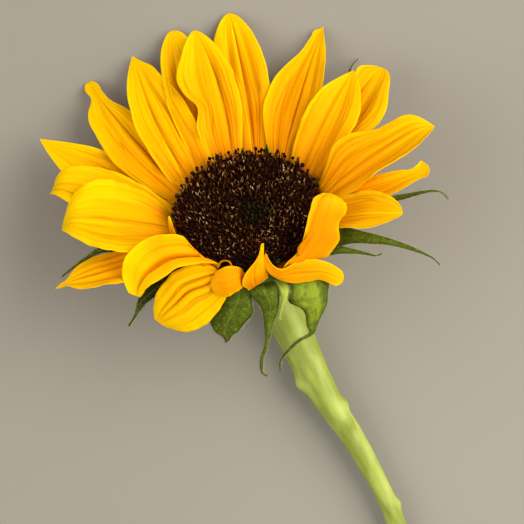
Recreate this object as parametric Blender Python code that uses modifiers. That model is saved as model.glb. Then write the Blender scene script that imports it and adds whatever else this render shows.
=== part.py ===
"""A cut sunflower, lying on its back with its stem along the surface.

The head is modelled in its own frame: the origin in the middle of the disc, +Z out of the
flower's face, +Y away from the stem's side. An empty holds that frame. Units there are
millimetres in the tables and metres in the meshes. The stem runs towards -Y on the surface.
"""

import math
import random
from dataclasses import dataclass

import bmesh
import bpy
from mathutils import Matrix, Vector
from mathutils.geometry import delaunay_2d_cdt

MM = 0.001

# Driving dimensions, in millimetres and degrees
DISC_RADIUS = 26.8
DISC_CLEARANCE = 0.7
FLANGE_BOTTOM = -2.0
RING_INNER_RADIUS = 24.0
RING_OUTER_RADIUS = 30.5
RECEPTACLE_TOP = -7.0
GAP = 0.3
CUP_GAP = 0.6
CUP_WALL = 1.6
PETAL_THICKNESS = 0.7
BRACT_THICKNESS = 0.7

# How finely the blades are cut, along and across, and how sharply the sheets are creased
PETAL_CELLS = (8, 6)
PETAL_CREASE = 1.6
BRACT_CELLS = (9, 2)
BRACT_CREASE = 2.0
# Folds and waves of the blades, as shares of the half width
PETAL_FOLD = 0.05
PETAL_WAVE = 0.08
BRACT_WAVE = 0.04

# Where the head is: its middle above the surface, its tilt from lying flat and the side it leans to
HEAD_PLACE = (0.1, 62.0, 43.1)
HEAD_TILT = 37.0
HEAD_LEAN = 14.0
# The photo looks straight down, with its right turned clockwise from +X by this
VIEW_TURN = 26.0


@dataclass
class Blade:
    """One petal or bract. Lengths are in millimetres and angles in degrees."""

    azimuth: float  # of the root round the disc: 0 is +X, 90 the far side
    length: float
    width: float
    lifts: tuple  # slope of the spine above the disc's plane at the root, half way and tip
    skew: float = 0.0  # how far the root points away from straight out
    turn: float = 0.0  # how much further the spine swings by the tip
    hook: float = 0.0  # extra curl of the last fifth
    root_radius: float = 27.2
    root_height: float = -4.6
    root_width: float = 0.42  # share of the full width
    peak: float = 0.5  # where it is widest, from 0 at the root to 1
    taper: float = 2.0  # under 2 is more pointed
    blunt: float = 1.0  # under 1 is rounder at the tip
    tip_width: float = 0.0  # share of the full width that a cut-off tip keeps
    cups: tuple = (0.25, 0.1)  # how far the edges stand up, near the root and at the tip


PETALS = [
    # The back layer
    Blade(112, 62, 18, (24, 16, 12), skew=-17, turn=-3, root_height=-5.4, blunt=0.5),
    Blade(158, 63.5, 19, (12, 6, 6), skew=-14, turn=-13, root_height=-5.4, taper=1.6),
    Blade(32, 54, 18, (14, 8, 4), skew=11, turn=2, root_height=-5.4, blunt=0.5, peak=0.6),
    Blade(-8, 41, 12, (20, 12, 14), skew=4, turn=12, root_height=-5.4, tip_width=0.5, peak=0.4),
    Blade(195, 48, 15, (10, 0, -8), skew=1, turn=-20, hook=-20, root_height=-5.4),
    # The middle layer
    Blade(77, 63, 21, (19, 16.5, 14), skew=9, turn=3, root_height=-5.0, blunt=0.6),
    Blade(145, 67, 20, (14.3, 8.0, -4), skew=-19, turn=-22, tip_width=0.3, peak=0.42, taper=1.6),
    Blade(31, 46, 20, (22, 14, 8), skew=19, turn=6, root_width=0.7),
    Blade(166, 52, 19, (20, 14, -10), skew=-11, hook=-60, taper=2.6, blunt=0.5),
    Blade(90, 55, 18, (24, 17, 12), skew=3, turn=4, root_height=-4.6, root_width=0.7),
    # The front layer
    Blade(
        126, 61, 22, (22, 12, 4), skew=-15, turn=-12, root_height=-4.2, root_width=0.8, peak=0.45, taper=1.7
    ),
    Blade(54, 62.5, 22, (16.5, 8.4, 0), skew=14, turn=-9, root_height=-4.2, peak=0.42, taper=1.5),
    Blade(98, 56, 20, (30, 20, 11), skew=-9, turn=6, root_height=-4.0, root_width=0.6, blunt=0.7),
    Blade(3, 50, 22, (26, 16, 10), skew=18, turn=-10, hook=-40, root_height=-4.2, peak=0.58),
    Blade(-20, 32, 17, (34, 20, 4), skew=0, turn=-9, root_height=-4.2, root_width=0.6, blunt=0.6),
    Blade(178, 44, 33, (34, 16, -14), skew=-1, turn=-14, hook=-40, root_width=0.45, blunt=0.5),
]

# The near petals and bracts stand up, fold over and curl, so each is a sheet through rows of three
# places, from its root to its tip: on one edge, in its middle and on the other edge. They are in
# millimetres from the disc's middle to the right, upwards and towards the eye in the photo's view.
NEAR_SHEETS = [
    [
        ((-19.5, -20, 6), (-16, -22.5, 8), (-12, -24, 10)),
        ((-18, -14, 14), (-14, -17, 14.5), (-9.5, -20, 17)),
        ((-22.5, -10, 16.5), (-20, -15.5, 15.5), (-16, -19.5, 18)),
        ((-29.5, -9.5, 17), (-27, -16, 15), (-23.5, -21, 18)),
        ((-36.5, -11.5, 14.5), (-32.5, -18.5, 12.5), (-29, -24.5, 16)),
        ((-42.5, -17.5, 13.5), (-37, -22.5, 11.5), (-34, -27.5, 14.5)),
        ((-44, -24, 10), (-39, -27, 9.5), (-36.5, -30, 12)),
        ((-42, -30, 8.5), (-39.5, -31, 9), (-37.5, -31.5, 10)),
    ],
    [
        ((-12, -24, 10), (-8, -25, 11.5), (-3.5, -25.5, 12.5)),
        ((-11, -21, 15.5), (-9, -24.5, 16), (-6, -29, 13)),
        ((-17, -19.5, 15.5), (-14.5, -27.5, 17), (-9, -35, 11)),
        ((-25.5, -22.5, 13.5), (-20.5, -30, 16), (-12.5, -39.5, 9)),
        ((-30.5, -28, 11), (-25.5, -34.5, 13), (-17.5, -43, 7)),
        ((-33, -34.5, 8), (-29.5, -38, 9.5), (-22.5, -44, 5.5)),
        ((-33, -39, 6), (-31.5, -40.5, 6), (-28.5, -42.5, 5)),
    ],
    [
        ((-0.5, -23.5, 15.5), (-0.5, -25, 14), (0, -26.5, 13)),
        ((-2.5, -21, 19.5), (-2.5, -24.5, 20), (-2, -28.5, 17.5)),
        ((-6, -20.5, 20.5), (-6.5, -26, 21.5), (-4.5, -30, 18)),
        ((-10, -22, 19.5), (-10, -26.5, 20.5), (-7, -31.5, 17)),
        ((-12, -25, 18), (-12, -27.5, 18.5), (-10, -30.5, 16.5)),
        ((-12.5, -27, 17), (-12, -28.5, 17), (-11, -30, 16.5)),
    ],
    [
        ((7.5, -24, 14), (3.5, -26.5, 14), (-1.5, -29.5, 15)),
        ((7, -22, 17.5), (3.5, -24, 18.5), (-1.5, -26.5, 19)),
        ((6.5, -20, 20.5), (3.5, -21, 21.5), (-0.5, -23.5, 21.5)),
        ((6, -17.5, 23), (4.5, -18, 23.5), (3, -19, 23.5)),
        ((6, -15, 25), (5.5, -15.5, 25), (4.5, -16, 25)),
        ((6, -12.5, 27), (5.5, -12.5, 27), (5, -12.5, 27)),
    ],
    [
        ((5.5, -17.5, 23), (6, -16, 24), (6.5, -15.5, 24.5)),
        ((7.5, -22.5, 18.5), (8.5, -21, 19.5), (9, -20, 20.5)),
        ((11, -25, 15), (12, -23.5, 17), (12.5, -21.5, 18.5)),
        ((16, -26.5, 13), (16.5, -23, 15.5), (17.5, -19, 17.5)),
        ((21.5, -26, 11.5), (21.5, -22.5, 14), (22.5, -18, 15.5)),
        ((26.5, -25.5, 9.5), (27, -22.5, 12), (28, -19, 12.5)),
        ((31.5, -27.5, 6.5), (31.5, -24, 8.5), (32, -21, 9)),
        ((34, -26.5, 5), (34.5, -24.5, 5.5), (34, -22.5, 6)),
    ],
    [
        ((24.5, -15, 7.5), (19.5, -18.5, 10.5), (12.5, -22.5, 12.7)),
        ((28, -17.5, 12.5), (22, -18, 16), (13.5, -20.5, 19)),
        ((32.5, -11.5, 13.5), (26, -12, 17.5), (18.5, -15, 20.5)),
        ((32, -6, 15.5), (27, -6, 19.5), (20.6, -7.5, 21.5)),
        ((34.7, -2, 16), (29, -0.5, 21), (21.8, -1.5, 22.5)),
        ((34.7, 1, 16.5), (29.5, 2.8, 20.5), (23.2, 2.8, 21.5)),
        ((33, 3, 15.5), (30, 4.6, 17.5), (26.5, 4.9, 19)),
    ],
]

# Bracts taper early to long thin tips
BRACT_FORM = dict(root_radius=24.6, root_height=-10.5, root_width=0.8, peak=0.22, taper=0.65, cups=(0.3, 0.3))

BRACTS = [
    Blade(44, 60, 9, (11.5, 5.5, 8), skew=6, turn=7, **BRACT_FORM),
    Blade(-8, 50, 9, (16, 6, -4), skew=1, turn=10, hook=-50, **BRACT_FORM),
    Blade(-32, 49, 10, (24, 6, -20), skew=12, turn=-18, **BRACT_FORM),
    Blade(-44, 28, 8, (24, 8, -6), skew=23, turn=-8, **BRACT_FORM),
]
BRACT_SHEETS = [
    [
        ((-19, -19, -3.5), (-21, -16.2, -4.5), (-22, -13, -5.5)),
        ((-31, -18, -4), (-32, -15.5, -3.5), (-32.5, -13, -4)),
        ((-42, -17, -3), (-42.5, -14.8, -2.5), (-42.5, -12.8, -2.6)),
        ((-52, -16, -2.6), (-52, -14.5, -1.9), (-51.8, -13, -2)),
        ((-60.5, -20, -3.6), (-60, -18.9, -3.2), (-59.4, -17.9, -3.2)),
        ((-67.3, -24.8, -5), (-67, -24.2, -5), (-66.6, -23.6, -5)),
    ],
    [
        ((-16.5, -20.5, 0), (-14, -23, 1.5), (-11, -25, 3)),
        ((-24, -20, 2.5), (-21.5, -23.5, 4), (-18, -27, 4)),
        ((-33, -26, 2), (-31, -27.5, 3.5), (-27.5, -29.5, 3.5)),
        ((-39, -31.5, 0.5), (-37.5, -33, 1.5), (-34.5, -33, 1.5)),
        ((-40, -35, 0), (-38.5, -35.5, 0.5), (-37.5, -35.5, 0.5)),
        ((-41, -39, 0), (-40.5, -39, 0), (-40, -39, 0)),
        ((-43, -42, 1), (-42.5, -42, 1), (-42.2, -42, 1)),
    ],
    [
        ((-7, -25, 4), (-3, -26, 5.5), (1, -26.5, 6)),
        ((-9, -31, 5), (-3, -32.5, 7), (2, -34, 6)),
        ((-13.5, -38.5, 1.5), (-6, -39, 5), (2, -39, 4.5)),
        ((-14, -43, -1), (-8, -43, 2), (-1, -43.5, 2.5)),
        ((-10, -45.5, -1), (-7.5, -45.5, 0.5), (-4.5, -45.5, 0.5)),
        ((-7.5, -48, -1), (-7, -48, -1), (-6.5, -47.5, -1)),
    ],
    [
        ((0, -25.5, 6), (4.5, -26, 6.5), (9, -25.5, 6.5)),
        ((1, -29.5, 8), (6.5, -29, 10.5), (11.5, -29, 8.5)),
        ((4.5, -35, 6), (8.5, -34.5, 8.5), (11.5, -34.5, 7)),
        ((6, -42, 4), (8, -42, 6), (9.5, -41.5, 5)),
        ((6, -49, 2), (7, -49, 3.5), (7.7, -48.5, 3)),
        ((4.5, -55, 0), (5.2, -55, 0.5), (6, -54.5, 0.5)),
        ((5.2, -60, -1.5), (5.5, -60.5, -1.5), (5.8, -60.2, -1.5)),
    ],
    [
        ((9, -24.5, 6), (10.5, -24.5, 6), (12.5, -24, 6)),
        ((11.5, -28.5, 9.5), (13, -28.5, 10), (15, -28, 9.5)),
        ((12.3, -32, 9), (13.3, -32.4, 9.5), (14.4, -32.4, 9)),
        ((11.7, -36, 7.5), (12.2, -36.2, 8), (13, -36, 7.5)),
        ((11.3, -39.6, 6), (11.5, -39.6, 6), (11.8, -39.6, 6)),
    ],
    [
        ((11.5, -23, 6), (15.5, -21.5, 5), (20, -19.5, 3)),
        ((14.5, -27.5, 8.5), (21, -26, 8), (29, -25, 3.5)),
        ((15, -33.5, 7.5), (22.5, -33, 7.5), (29, -31.5, 3)),
        ((20, -36.5, 6), (24, -37, 5.5), (27.5, -36.5, 2.5)),
        ((21, -41.5, 3), (23.5, -41.5, 3), (26, -41, 1.5)),
        ((22, -44.5, 1), (23, -45, 0.5), (24, -45, 0)),
        ((18, -47, 0), (18.5, -47.6, 0), (18.8, -48.2, 0)),
        ((14, -51, -1), (14.4, -51.5, -1), (14.8, -52, -1)),
        ((11.7, -55, -2), (12, -55, -2), (12.4, -55, -2)),
        ((11.7, -58.3, -3), (12, -58.3, -3), (12.3, -58.3, -3)),
    ],
]
# The bracts behind the far petals, from one azimuth to another
HIDDEN_BRACTS = 9
HIDDEN_FROM = 12
HIDDEN_TO = 178

# Stem: places of its middle from the disc's middle, and its radius there, in millimetres
STEM_ROUTE = [
    ((-4.4, -17.5, -24.0), 8.6),
    ((-5.2, -23.0, -29.0), 7.4),
    ((-5.2, -30.0, -32.4), 7.0),
    ((-4.9, -39.0, -33.9), 7.0),
    ((-4.4, -50.0, -34.2), 7.0),
    ((-4.7, -68.0, -34.7), 6.1),
    ((-3.4, -83.0, -35.2), 4.9),
    ((-1.4, -97.0, -35.8), 4.3),
    ((-0.4, -118.0, -36.7), 3.5),
    ((-1.0, -131.0, -37.2), 3.5),
    ((-3.0, -168.0, -38.3), 3.8),
    ((-2.0, -200.0, -38.8), 4.2),
]
# The flare of the receptacle under the disc: height in the head's frame, and radius
RECEPTACLE = [(-7.0, 24.0), (-9.5, 23.8), (-12.5, 21.6), (-15.5, 17.0), (-18.5, 12.6), (-22.0, 10.0)]
STEM_SPACING = 5.0
# Leaf scars and nubs: distance from the disc's middle along -Y, turn round the stem, size
NUBS = [(69, 150, 2.6), (82, 20, 2.4), (90, 60, 2.2), (126, 20, 2.2), (127, 85, 2.2), (165, 100, 2.2)]

# The disc's florets: lower ones, still in bud, inside this radius
FLORETS = 280
BUDS_RADIUS = 14.0
BUD_HEIGHT = 0.7
FLORET_HEIGHT = 1.2
RIM_POINTS = 72


def clear_scene():
    for thing in list(bpy.data.objects):
        bpy.data.objects.remove(thing, do_unlink=True)


def collection(name):
    made = bpy.data.collections.new(name)
    bpy.context.scene.collection.children.link(made)
    return made


def material(name, colour, roughness):
    made = bpy.data.materials.new(name)
    made.use_nodes = True
    shader = made.node_tree.nodes["Principled BSDF"]
    shader.inputs["Base Color"].default_value = (*colour, 1.0)
    shader.inputs["Roughness"].default_value = roughness
    shader.inputs["Metallic"].default_value = 0.0
    made.diffuse_color = (*colour, 1.0)
    return made


def head_frame():
    """The head's frame in the world: its face tilted off the vertical towards its lean."""
    tilt = math.radians(HEAD_TILT)
    lean = math.radians(HEAD_LEAN)
    face = Vector((math.sin(tilt) * math.sin(lean), math.sin(tilt) * math.cos(lean), math.cos(tilt)))
    right = Vector((math.cos(lean), -math.sin(lean), 0.0))
    far = face.cross(right)
    turned = Matrix((right, far, face)).transposed().to_4x4()
    return Matrix.Translation(Vector(HEAD_PLACE) * MM) @ turned


def ease(value):
    value = min(max(value, 0.0), 1.0)
    return value * value * (3.0 - 2.0 * value)


def through(first, middle, last, share):
    """A smooth value that is first at 0, middle at a half and last at 1."""
    start = first * (1 - share) * (1 - 2 * share)
    return start + 4 * middle * share * (1 - share) + last * share * (2 * share - 1)


def half_width(blade, share):
    """Half of a blade's width at a share of its length."""
    if share < blade.peak:
        spread = math.sin(math.pi / 2 * share / blade.peak) ** 1.15
        part = blade.root_width + (1 - blade.root_width) * spread
    else:
        part = (1 - ((share - blade.peak) / (1 - blade.peak)) ** blade.taper) ** blade.blunt
        part = max(part, blade.tip_width)
    return max(blade.width / 2 * part, PETAL_THICKNESS / 2)


def spine(blade, count):
    """Stations along a blade, closer towards its tip.

    Each is its share of the length, its place, and its directions across and out of the face.
    """
    substeps = 6
    azimuth = math.radians(blade.azimuth)
    radius = blade.root_radius
    place = Vector((radius * math.cos(azimuth), radius * math.sin(azimuth), blade.root_height))
    before = 0.0
    stations = []
    for index in range(count * substeps + 1):
        share = 1.0 - (1.0 - index / (count * substeps)) ** 1.3
        step = blade.length * (share - before)
        before = share
        lift = through(*blade.lifts, share) + blade.hook * ease((share - 0.78) / 0.22)
        lift = math.radians(lift)
        heading = azimuth + math.radians(blade.skew + blade.turn * share)
        outward = Vector((math.cos(heading), math.sin(heading), 0.0))
        along = outward * math.cos(lift) + Vector((0.0, 0.0, math.sin(lift)))
        across = Vector((-outward.y, outward.x, 0.0))
        place = place + along * step
        if index % substeps == 0:
            stations.append((share, place.copy(), across, along.cross(across)))
    return stations


def relief(blade, share, side, fold, wave):
    """How far a point stands out of the blade's plane, as a share of its half width there."""
    cup = (blade.cups[0] + (blade.cups[1] - blade.cups[0]) * share) * ease(share / 0.3)
    folded = fold * math.cos(3 * math.pi * side) * math.sin(math.pi * min(share * 1.1, 1.0)) ** 0.5
    # Each blade's edges wave out of step with each other and with the next blade's
    phase = 2 * math.pi * (1.3 * share + (0.35 if side > 0 else 0.0)) + blade.azimuth
    return cup * side * side + folded + wave * ease(share / 0.3) * math.sin(phase) * abs(side) ** 3


def off_the_disc(spot):
    """Moves a blade's point that would be in the disc straight out to just past its rim."""
    nearest = DISC_RADIUS + DISC_CLEARANCE
    radius = math.hypot(spot.x, spot.y)
    if radius > nearest or spot.z < RECEPTACLE_TOP:
        return spot
    return Vector((spot.x * nearest / radius, spot.y * nearest / radius, spot.z))


def knot_weights(share):
    """How much each of four knots counts for a place between the middle two, on a smooth curve."""
    return (
        -0.5 * share**3 + share**2 - 0.5 * share,
        1.5 * share**3 - 2.5 * share**2 + 1.0,
        -1.5 * share**3 + 2.0 * share**2 + 0.5 * share,
        0.5 * share**3 - 0.5 * share**2,
    )


def blade_surface(blade, cells_along, fold, wave):
    """A function that gives a blade's point for a station and a side from -1 to 1."""
    stations = spine(blade, cells_along)

    def point(station, side):
        share, place, across, normal = stations[station]
        half = half_width(blade, share)
        return place + across * (half * side) + normal * (half * relief(blade, share, side, fold, wave))

    return point


def sheet_surface(sheet, cells_along, crease):
    """A function that gives a sheet's point for a station and a side from -1 to 1."""
    view = Matrix.Rotation(math.radians(-VIEW_TURN), 3, "Z")
    into_head = head_frame().to_3x3().transposed() @ view
    rows = [[into_head @ Vector(place) for place in row] for row in sheet]

    def point(station, side):
        along = station / cells_along * (len(rows) - 1)
        index = min(int(along), len(rows) - 2)
        weights = knot_weights(along - index)
        knots = [rows[min(max(index + step, 0), len(rows) - 1)] for step in (-1, 0, 1, 2)]
        first, middle, last = [
            sum((knot[column] * weight for knot, weight in zip(knots, weights)), Vector())
            for column in range(3)
        ]
        return middle + (last - first) * side / 2 + ((first + last) / 2 - middle) * abs(side) ** crease

    return point


def thin_object(name, surface, cells, thickness, into):
    """A closed thin body: a grid bent to a surface, split into triangles and given a thickness."""
    cells_along, cells_across = cells
    mesh = bpy.data.meshes.new(name)
    grid = bmesh.new()
    bmesh.ops.create_grid(grid, x_segments=cells_across, y_segments=cells_along, size=1.0)
    for vertex in grid.verts:
        station = round((vertex.co.y + 1) / 2 * cells_along)
        vertex.co = off_the_disc(surface(station, vertex.co.x)) * MM
    bmesh.ops.triangulate(grid, faces=grid.faces)
    grid.to_mesh(mesh)
    grid.free()
    made = bpy.data.objects.new(name, mesh)
    into.objects.link(made)
    solid = made.modifiers.new("thickness", "SOLIDIFY")
    solid.thickness = thickness * MM
    solid.offset = 0.0
    return made


def turned(name, profile, steps, into):
    """A closed ring from a closed profile of (radius, height), turned about +Z."""
    mesh = bpy.data.meshes.new(name)
    points = [(radius * MM, 0.0, height * MM) for radius, height in profile]
    edges = [(index, (index + 1) % len(points)) for index in range(len(points))]
    mesh.from_pydata(points, edges, [])
    made = bpy.data.objects.new(name, mesh)
    into.objects.link(made)
    screw = made.modifiers.new("turn", "SCREW")
    screw.steps = steps
    screw.render_steps = steps
    screw.use_merge_vertices = True
    screw.merge_threshold = 0.00001
    screw.use_normal_calculate = True
    return made


def applied(thing):
    """Replaces an object's mesh by the one its modifiers make."""
    bpy.context.view_layer.update()
    graph = bpy.context.evaluated_depsgraph_get()
    mesh = bpy.data.meshes.new_from_object(thing.evaluated_get(graph))
    thing.modifiers.clear()
    thing.data = mesh
    return thing


def face_out(thing):
    """Turns all faces of a closed mesh outwards."""
    shape = bmesh.new()
    shape.from_mesh(thing.data)
    bmesh.ops.recalc_face_normals(shape, faces=shape.faces)
    shape.to_mesh(thing.data)
    shape.free()


def fuse(core, repeats):
    """Joins a collection's closed objects to the core in one union, then removes them."""
    union = core.modifiers.new("union", "BOOLEAN")
    union.operation = "UNION"
    union.operand_type = "COLLECTION"
    union.collection = repeats
    union.solver = "EXACT"
    applied(core)
    for thing in list(repeats.objects):
        bpy.data.objects.remove(thing, do_unlink=True)
    bpy.data.collections.remove(repeats)


def finish(thing, look, parent=None):
    thing.data.materials.clear()
    thing.data.materials.append(look)
    for face in thing.data.polygons:
        face.use_smooth = True
        face.material_index = 0
    thing.data.set_sharp_from_angle(angle=math.radians(50))
    if parent:
        thing.parent = parent


def make_petals(parts, head):
    top = FLANGE_BOTTOM - GAP
    bottom = RECEPTACLE_TOP + GAP
    profile = [
        (RING_OUTER_RADIUS, top - 0.8),
        (RING_OUTER_RADIUS, bottom + 0.6),
        (RING_OUTER_RADIUS - 1.0, bottom),
        (RING_INNER_RADIUS, bottom),
        (RING_INNER_RADIUS, top),
        (RING_OUTER_RADIUS - 1.5, top),
    ]
    ring = applied(turned("ray_petals", profile, 60, parts))
    face_out(ring)
    repeats = collection("petal repeats")
    cells_along = PETAL_CELLS[0]
    surfaces = [blade_surface(blade, cells_along, PETAL_FOLD, PETAL_WAVE) for blade in PETALS]
    surfaces += [sheet_surface(sheet, cells_along, PETAL_CREASE) for sheet in NEAR_SHEETS]
    for number, surface in enumerate(surfaces):
        petal = thin_object(f"petal {number}", surface, PETAL_CELLS, PETAL_THICKNESS, repeats)
        face_out(applied(petal))
    fuse(ring, repeats)
    finish(ring, material("petal yellow", (0.95, 0.60, 0.02), 0.55), head)


def hidden_bracts():
    """Bracts that the photo doesn't show, behind the far petals, by a rule with a seeded draw."""
    draw = random.Random(11)
    found = []
    for number in range(HIDDEN_BRACTS):
        azimuth = HIDDEN_FROM + (HIDDEN_TO - HIDDEN_FROM) * (number + 0.5) / HIDDEN_BRACTS
        azimuth += draw.uniform(-4, 4)
        lifts = (draw.uniform(14, 18), draw.uniform(7, 10), draw.uniform(0, 8))
        length = draw.uniform(36, 46)
        width = draw.uniform(10, 14)
        found.append(Blade(azimuth, length, width, lifts, turn=draw.uniform(-14, 14), **BRACT_FORM))
    return found


def make_bracts(parts, head):
    inner = [(radius + CUP_GAP, height) for height, radius in RECEPTACLE[:-1]]
    inner[0] = (inner[0][0], RECEPTACLE_TOP - GAP)
    outer = [(radius + CUP_WALL, height - GAP) for radius, height in reversed(inner)]
    outer[-1] = (inner[0][0] + CUP_WALL, inner[0][1])
    cup = applied(turned("bracts", inner + outer, 36, parts))
    face_out(cup)
    repeats = collection("bract repeats")
    cells_along = BRACT_CELLS[0]
    surfaces = [blade_surface(blade, cells_along, 0.0, BRACT_WAVE) for blade in BRACTS + hidden_bracts()]
    surfaces += [sheet_surface(sheet, cells_along, BRACT_CREASE) for sheet in BRACT_SHEETS]
    for number, surface in enumerate(surfaces):
        bract = thin_object(f"bract {number}", surface, BRACT_CELLS, BRACT_THICKNESS, repeats)
        face_out(applied(bract))
    fuse(cup, repeats)
    finish(cup, material("bract green", (0.16, 0.26, 0.05), 0.6), head)


def disc_height(radius):
    """The disc's surface under its florets: a low rounded rim round a slightly sunken middle."""
    rim = 1.6 * math.exp(-(((radius - 19.0) / 6.0) ** 2))
    return rim - 0.9 * math.exp(-((radius / 8.0) ** 2)) - 0.6


def make_disc(parts, head):
    golden_turn = math.pi * (3 - math.sqrt(5))
    spots = []
    for number in range(FLORETS):
        radius = (DISC_RADIUS - 1.2) * math.sqrt((number + 0.5) / FLORETS)
        angle = number * golden_turn
        spots.append(Vector((radius * math.cos(angle), radius * math.sin(angle))))
    for number in range(RIM_POINTS):
        angle = 2 * math.pi * number / RIM_POINTS
        spots.append(Vector((DISC_RADIUS * math.cos(angle), DISC_RADIUS * math.sin(angle))))
    points, _, faces = delaunay_2d_cdt(spots, [], [], 0, 0.0001)[:3]
    shape = bmesh.new()
    made = []
    for spot in points:
        radius = spot.length
        tall = FLORET_HEIGHT if radius > BUDS_RADIUS else BUD_HEIGHT
        at_rim = radius > DISC_RADIUS - 0.5
        height = -1.0 if at_rim else disc_height(radius) + tall
        made.append(shape.verts.new((spot.x * MM, spot.y * MM, height * MM)))
    for corners in faces:
        shape.faces.new([made[index] for index in corners])
    bmesh.ops.recalc_face_normals(shape, faces=shape.faces)
    pokes = bmesh.ops.poke(shape, faces=shape.faces)
    for centre in pokes["verts"]:
        radius = math.hypot(centre.co.x, centre.co.y) / MM
        centre.co.z = min(disc_height(radius) - 0.5, centre.co.z / MM - 0.6) * MM
    # The flange over the petals' ring, and the plug inside it
    plug = RING_INNER_RADIUS - GAP
    bottom = RECEPTACLE_TOP + GAP
    for radius, height in [(DISC_RADIUS, FLANGE_BOTTOM), (plug, FLANGE_BOTTOM), (plug, bottom)]:
        rim = [edge for edge in shape.edges if edge.is_boundary]
        grown = bmesh.ops.extrude_edge_only(shape, edges=rim)["geom"]
        for vertex in [item for item in grown if isinstance(item, bmesh.types.BMVert)]:
            out = Vector((vertex.co.x, vertex.co.y)).normalized() * radius
            vertex.co = Vector((out.x, out.y, height)) * MM
    bmesh.ops.holes_fill(shape, edges=[edge for edge in shape.edges if edge.is_boundary], sides=0)
    bmesh.ops.recalc_face_normals(shape, faces=shape.faces)
    mesh = bpy.data.meshes.new("disc_florets")
    shape.to_mesh(mesh)
    shape.free()
    disc = bpy.data.objects.new("disc_florets", mesh)
    parts.objects.link(disc)
    finish(disc, material("disc brown", (0.055, 0.022, 0.012), 0.8), head)


def smooth_route(points, spacing):
    """Points along a smooth curve through the given (place, radius) pairs."""
    found = []
    for index in range(len(points) - 1):
        start, end = points[index], points[index + 1]
        knots = (points[max(index - 1, 0)], start, end, points[min(index + 2, len(points) - 1)])
        pieces = max(1, round((end[0] - start[0]).length / spacing))
        for piece in range(pieces):
            weights = knot_weights(piece / pieces)
            place = sum((knot[0] * weight for knot, weight in zip(knots, weights)), Vector())
            radius = sum(knot[1] * weight for knot, weight in zip(knots, weights))
            found.append((place, radius))
    found.append(points[-1])
    return found


def stem_route():
    """The stem's middle and radius in the world, in millimetres, from under the disc to the cut end."""
    head = head_frame()
    start = Vector(HEAD_PLACE)
    down = -(head.to_3x3() @ Vector((0, 0, 1)))
    flare = [(start - down * height, radius) for height, radius in RECEPTACLE]
    rest = [(start + Vector(place), radius) for place, radius in STEM_ROUTE]
    return flare[:-1] + smooth_route([flare[-1]] + rest, STEM_SPACING)


def make_stem(parts):
    route = stem_route()
    line = bpy.data.curves.new("stem", "CURVE")
    line.dimensions = "3D"
    line.bevel_depth = MM
    line.bevel_resolution = 6
    line.use_fill_caps = True
    spline = line.splines.new("POLY")
    spline.points.add(len(route) - 1)
    for point, (place, radius) in zip(spline.points, route):
        point.co = (*(place * MM), 1.0)
        point.radius = radius
    tube = bpy.data.objects.new("stem tube", line)
    parts.objects.link(tube)
    bpy.context.view_layer.update()
    mesh = bpy.data.meshes.new_from_object(tube.evaluated_get(bpy.context.evaluated_depsgraph_get()))
    shape = bmesh.new()
    shape.from_mesh(mesh)
    bmesh.ops.remove_doubles(shape, verts=shape.verts, dist=0.00001)
    bmesh.ops.recalc_face_normals(shape, faces=shape.faces)
    shape.to_mesh(mesh)
    shape.free()
    stem = bpy.data.objects.new("stem", mesh)
    stem.matrix_world = tube.matrix_world
    parts.objects.link(stem)
    bpy.data.objects.remove(tube, do_unlink=True)
    repeats = collection("stem nubs")
    for number, (distance, turn, size) in enumerate(NUBS):
        place, radius = min(route, key=lambda point: abs(HEAD_PLACE[1] - distance - point[0].y))
        angle = math.radians(turn)
        out = Vector((math.cos(angle), 0.0, abs(math.sin(angle))))
        nub = bpy.data.meshes.new(f"nub {number}")
        ball = bmesh.new()
        bmesh.ops.create_icosphere(ball, subdivisions=1, radius=size * MM)
        bmesh.ops.scale(ball, vec=(1.0, 1.7, 1.0), verts=ball.verts)
        bmesh.ops.translate(ball, vec=(place + out * (radius - size * 0.35)) * MM, verts=ball.verts)
        ball.to_mesh(nub)
        ball.free()
        repeats.objects.link(bpy.data.objects.new(nub.name, nub))
    fuse(stem, repeats)
    finish(stem, material("stem green", (0.42, 0.50, 0.13), 0.6))


def main():
    clear_scene()
    parts = collection("sunflower")
    head = bpy.data.objects.new("head", None)
    head.matrix_world = head_frame()
    parts.objects.link(head)
    make_stem(parts)
    make_bracts(parts, head)
    make_petals(parts, head)
    make_disc(parts, head)
    bpy.context.view_layer.update()


main()
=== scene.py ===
"""The looks of the cut sunflower: fine petals, florets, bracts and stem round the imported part.

Shapes are worked out in millimetres in the head's own frame: the origin in the middle of the
disc, +Z out of the flower's face and +Y away from the stem. The stem is worked out in the world.
"""

import math
import random
from dataclasses import dataclass

import bpy
import numpy as np
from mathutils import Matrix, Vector


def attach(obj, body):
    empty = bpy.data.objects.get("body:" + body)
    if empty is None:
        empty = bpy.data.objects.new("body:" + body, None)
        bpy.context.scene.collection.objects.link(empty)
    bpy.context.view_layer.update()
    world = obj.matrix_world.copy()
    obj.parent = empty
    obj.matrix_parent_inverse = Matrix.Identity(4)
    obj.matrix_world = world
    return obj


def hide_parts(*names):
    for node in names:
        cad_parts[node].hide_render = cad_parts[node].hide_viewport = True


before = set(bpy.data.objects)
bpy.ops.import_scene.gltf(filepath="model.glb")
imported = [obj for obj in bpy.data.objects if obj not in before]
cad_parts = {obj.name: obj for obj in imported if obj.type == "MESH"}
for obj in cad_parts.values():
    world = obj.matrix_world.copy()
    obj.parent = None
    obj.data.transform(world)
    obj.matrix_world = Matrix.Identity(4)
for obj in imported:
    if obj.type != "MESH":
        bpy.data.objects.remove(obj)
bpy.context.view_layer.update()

MM = 0.001
TINY = 1e-9

# Where the head is: its middle above the surface, its tilt from lying flat and the side it leans to
HEAD_PLACE = np.array((0.1, 62.0, 43.1))
HEAD_TILT = 37.0
HEAD_LEAN = 14.0

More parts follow.
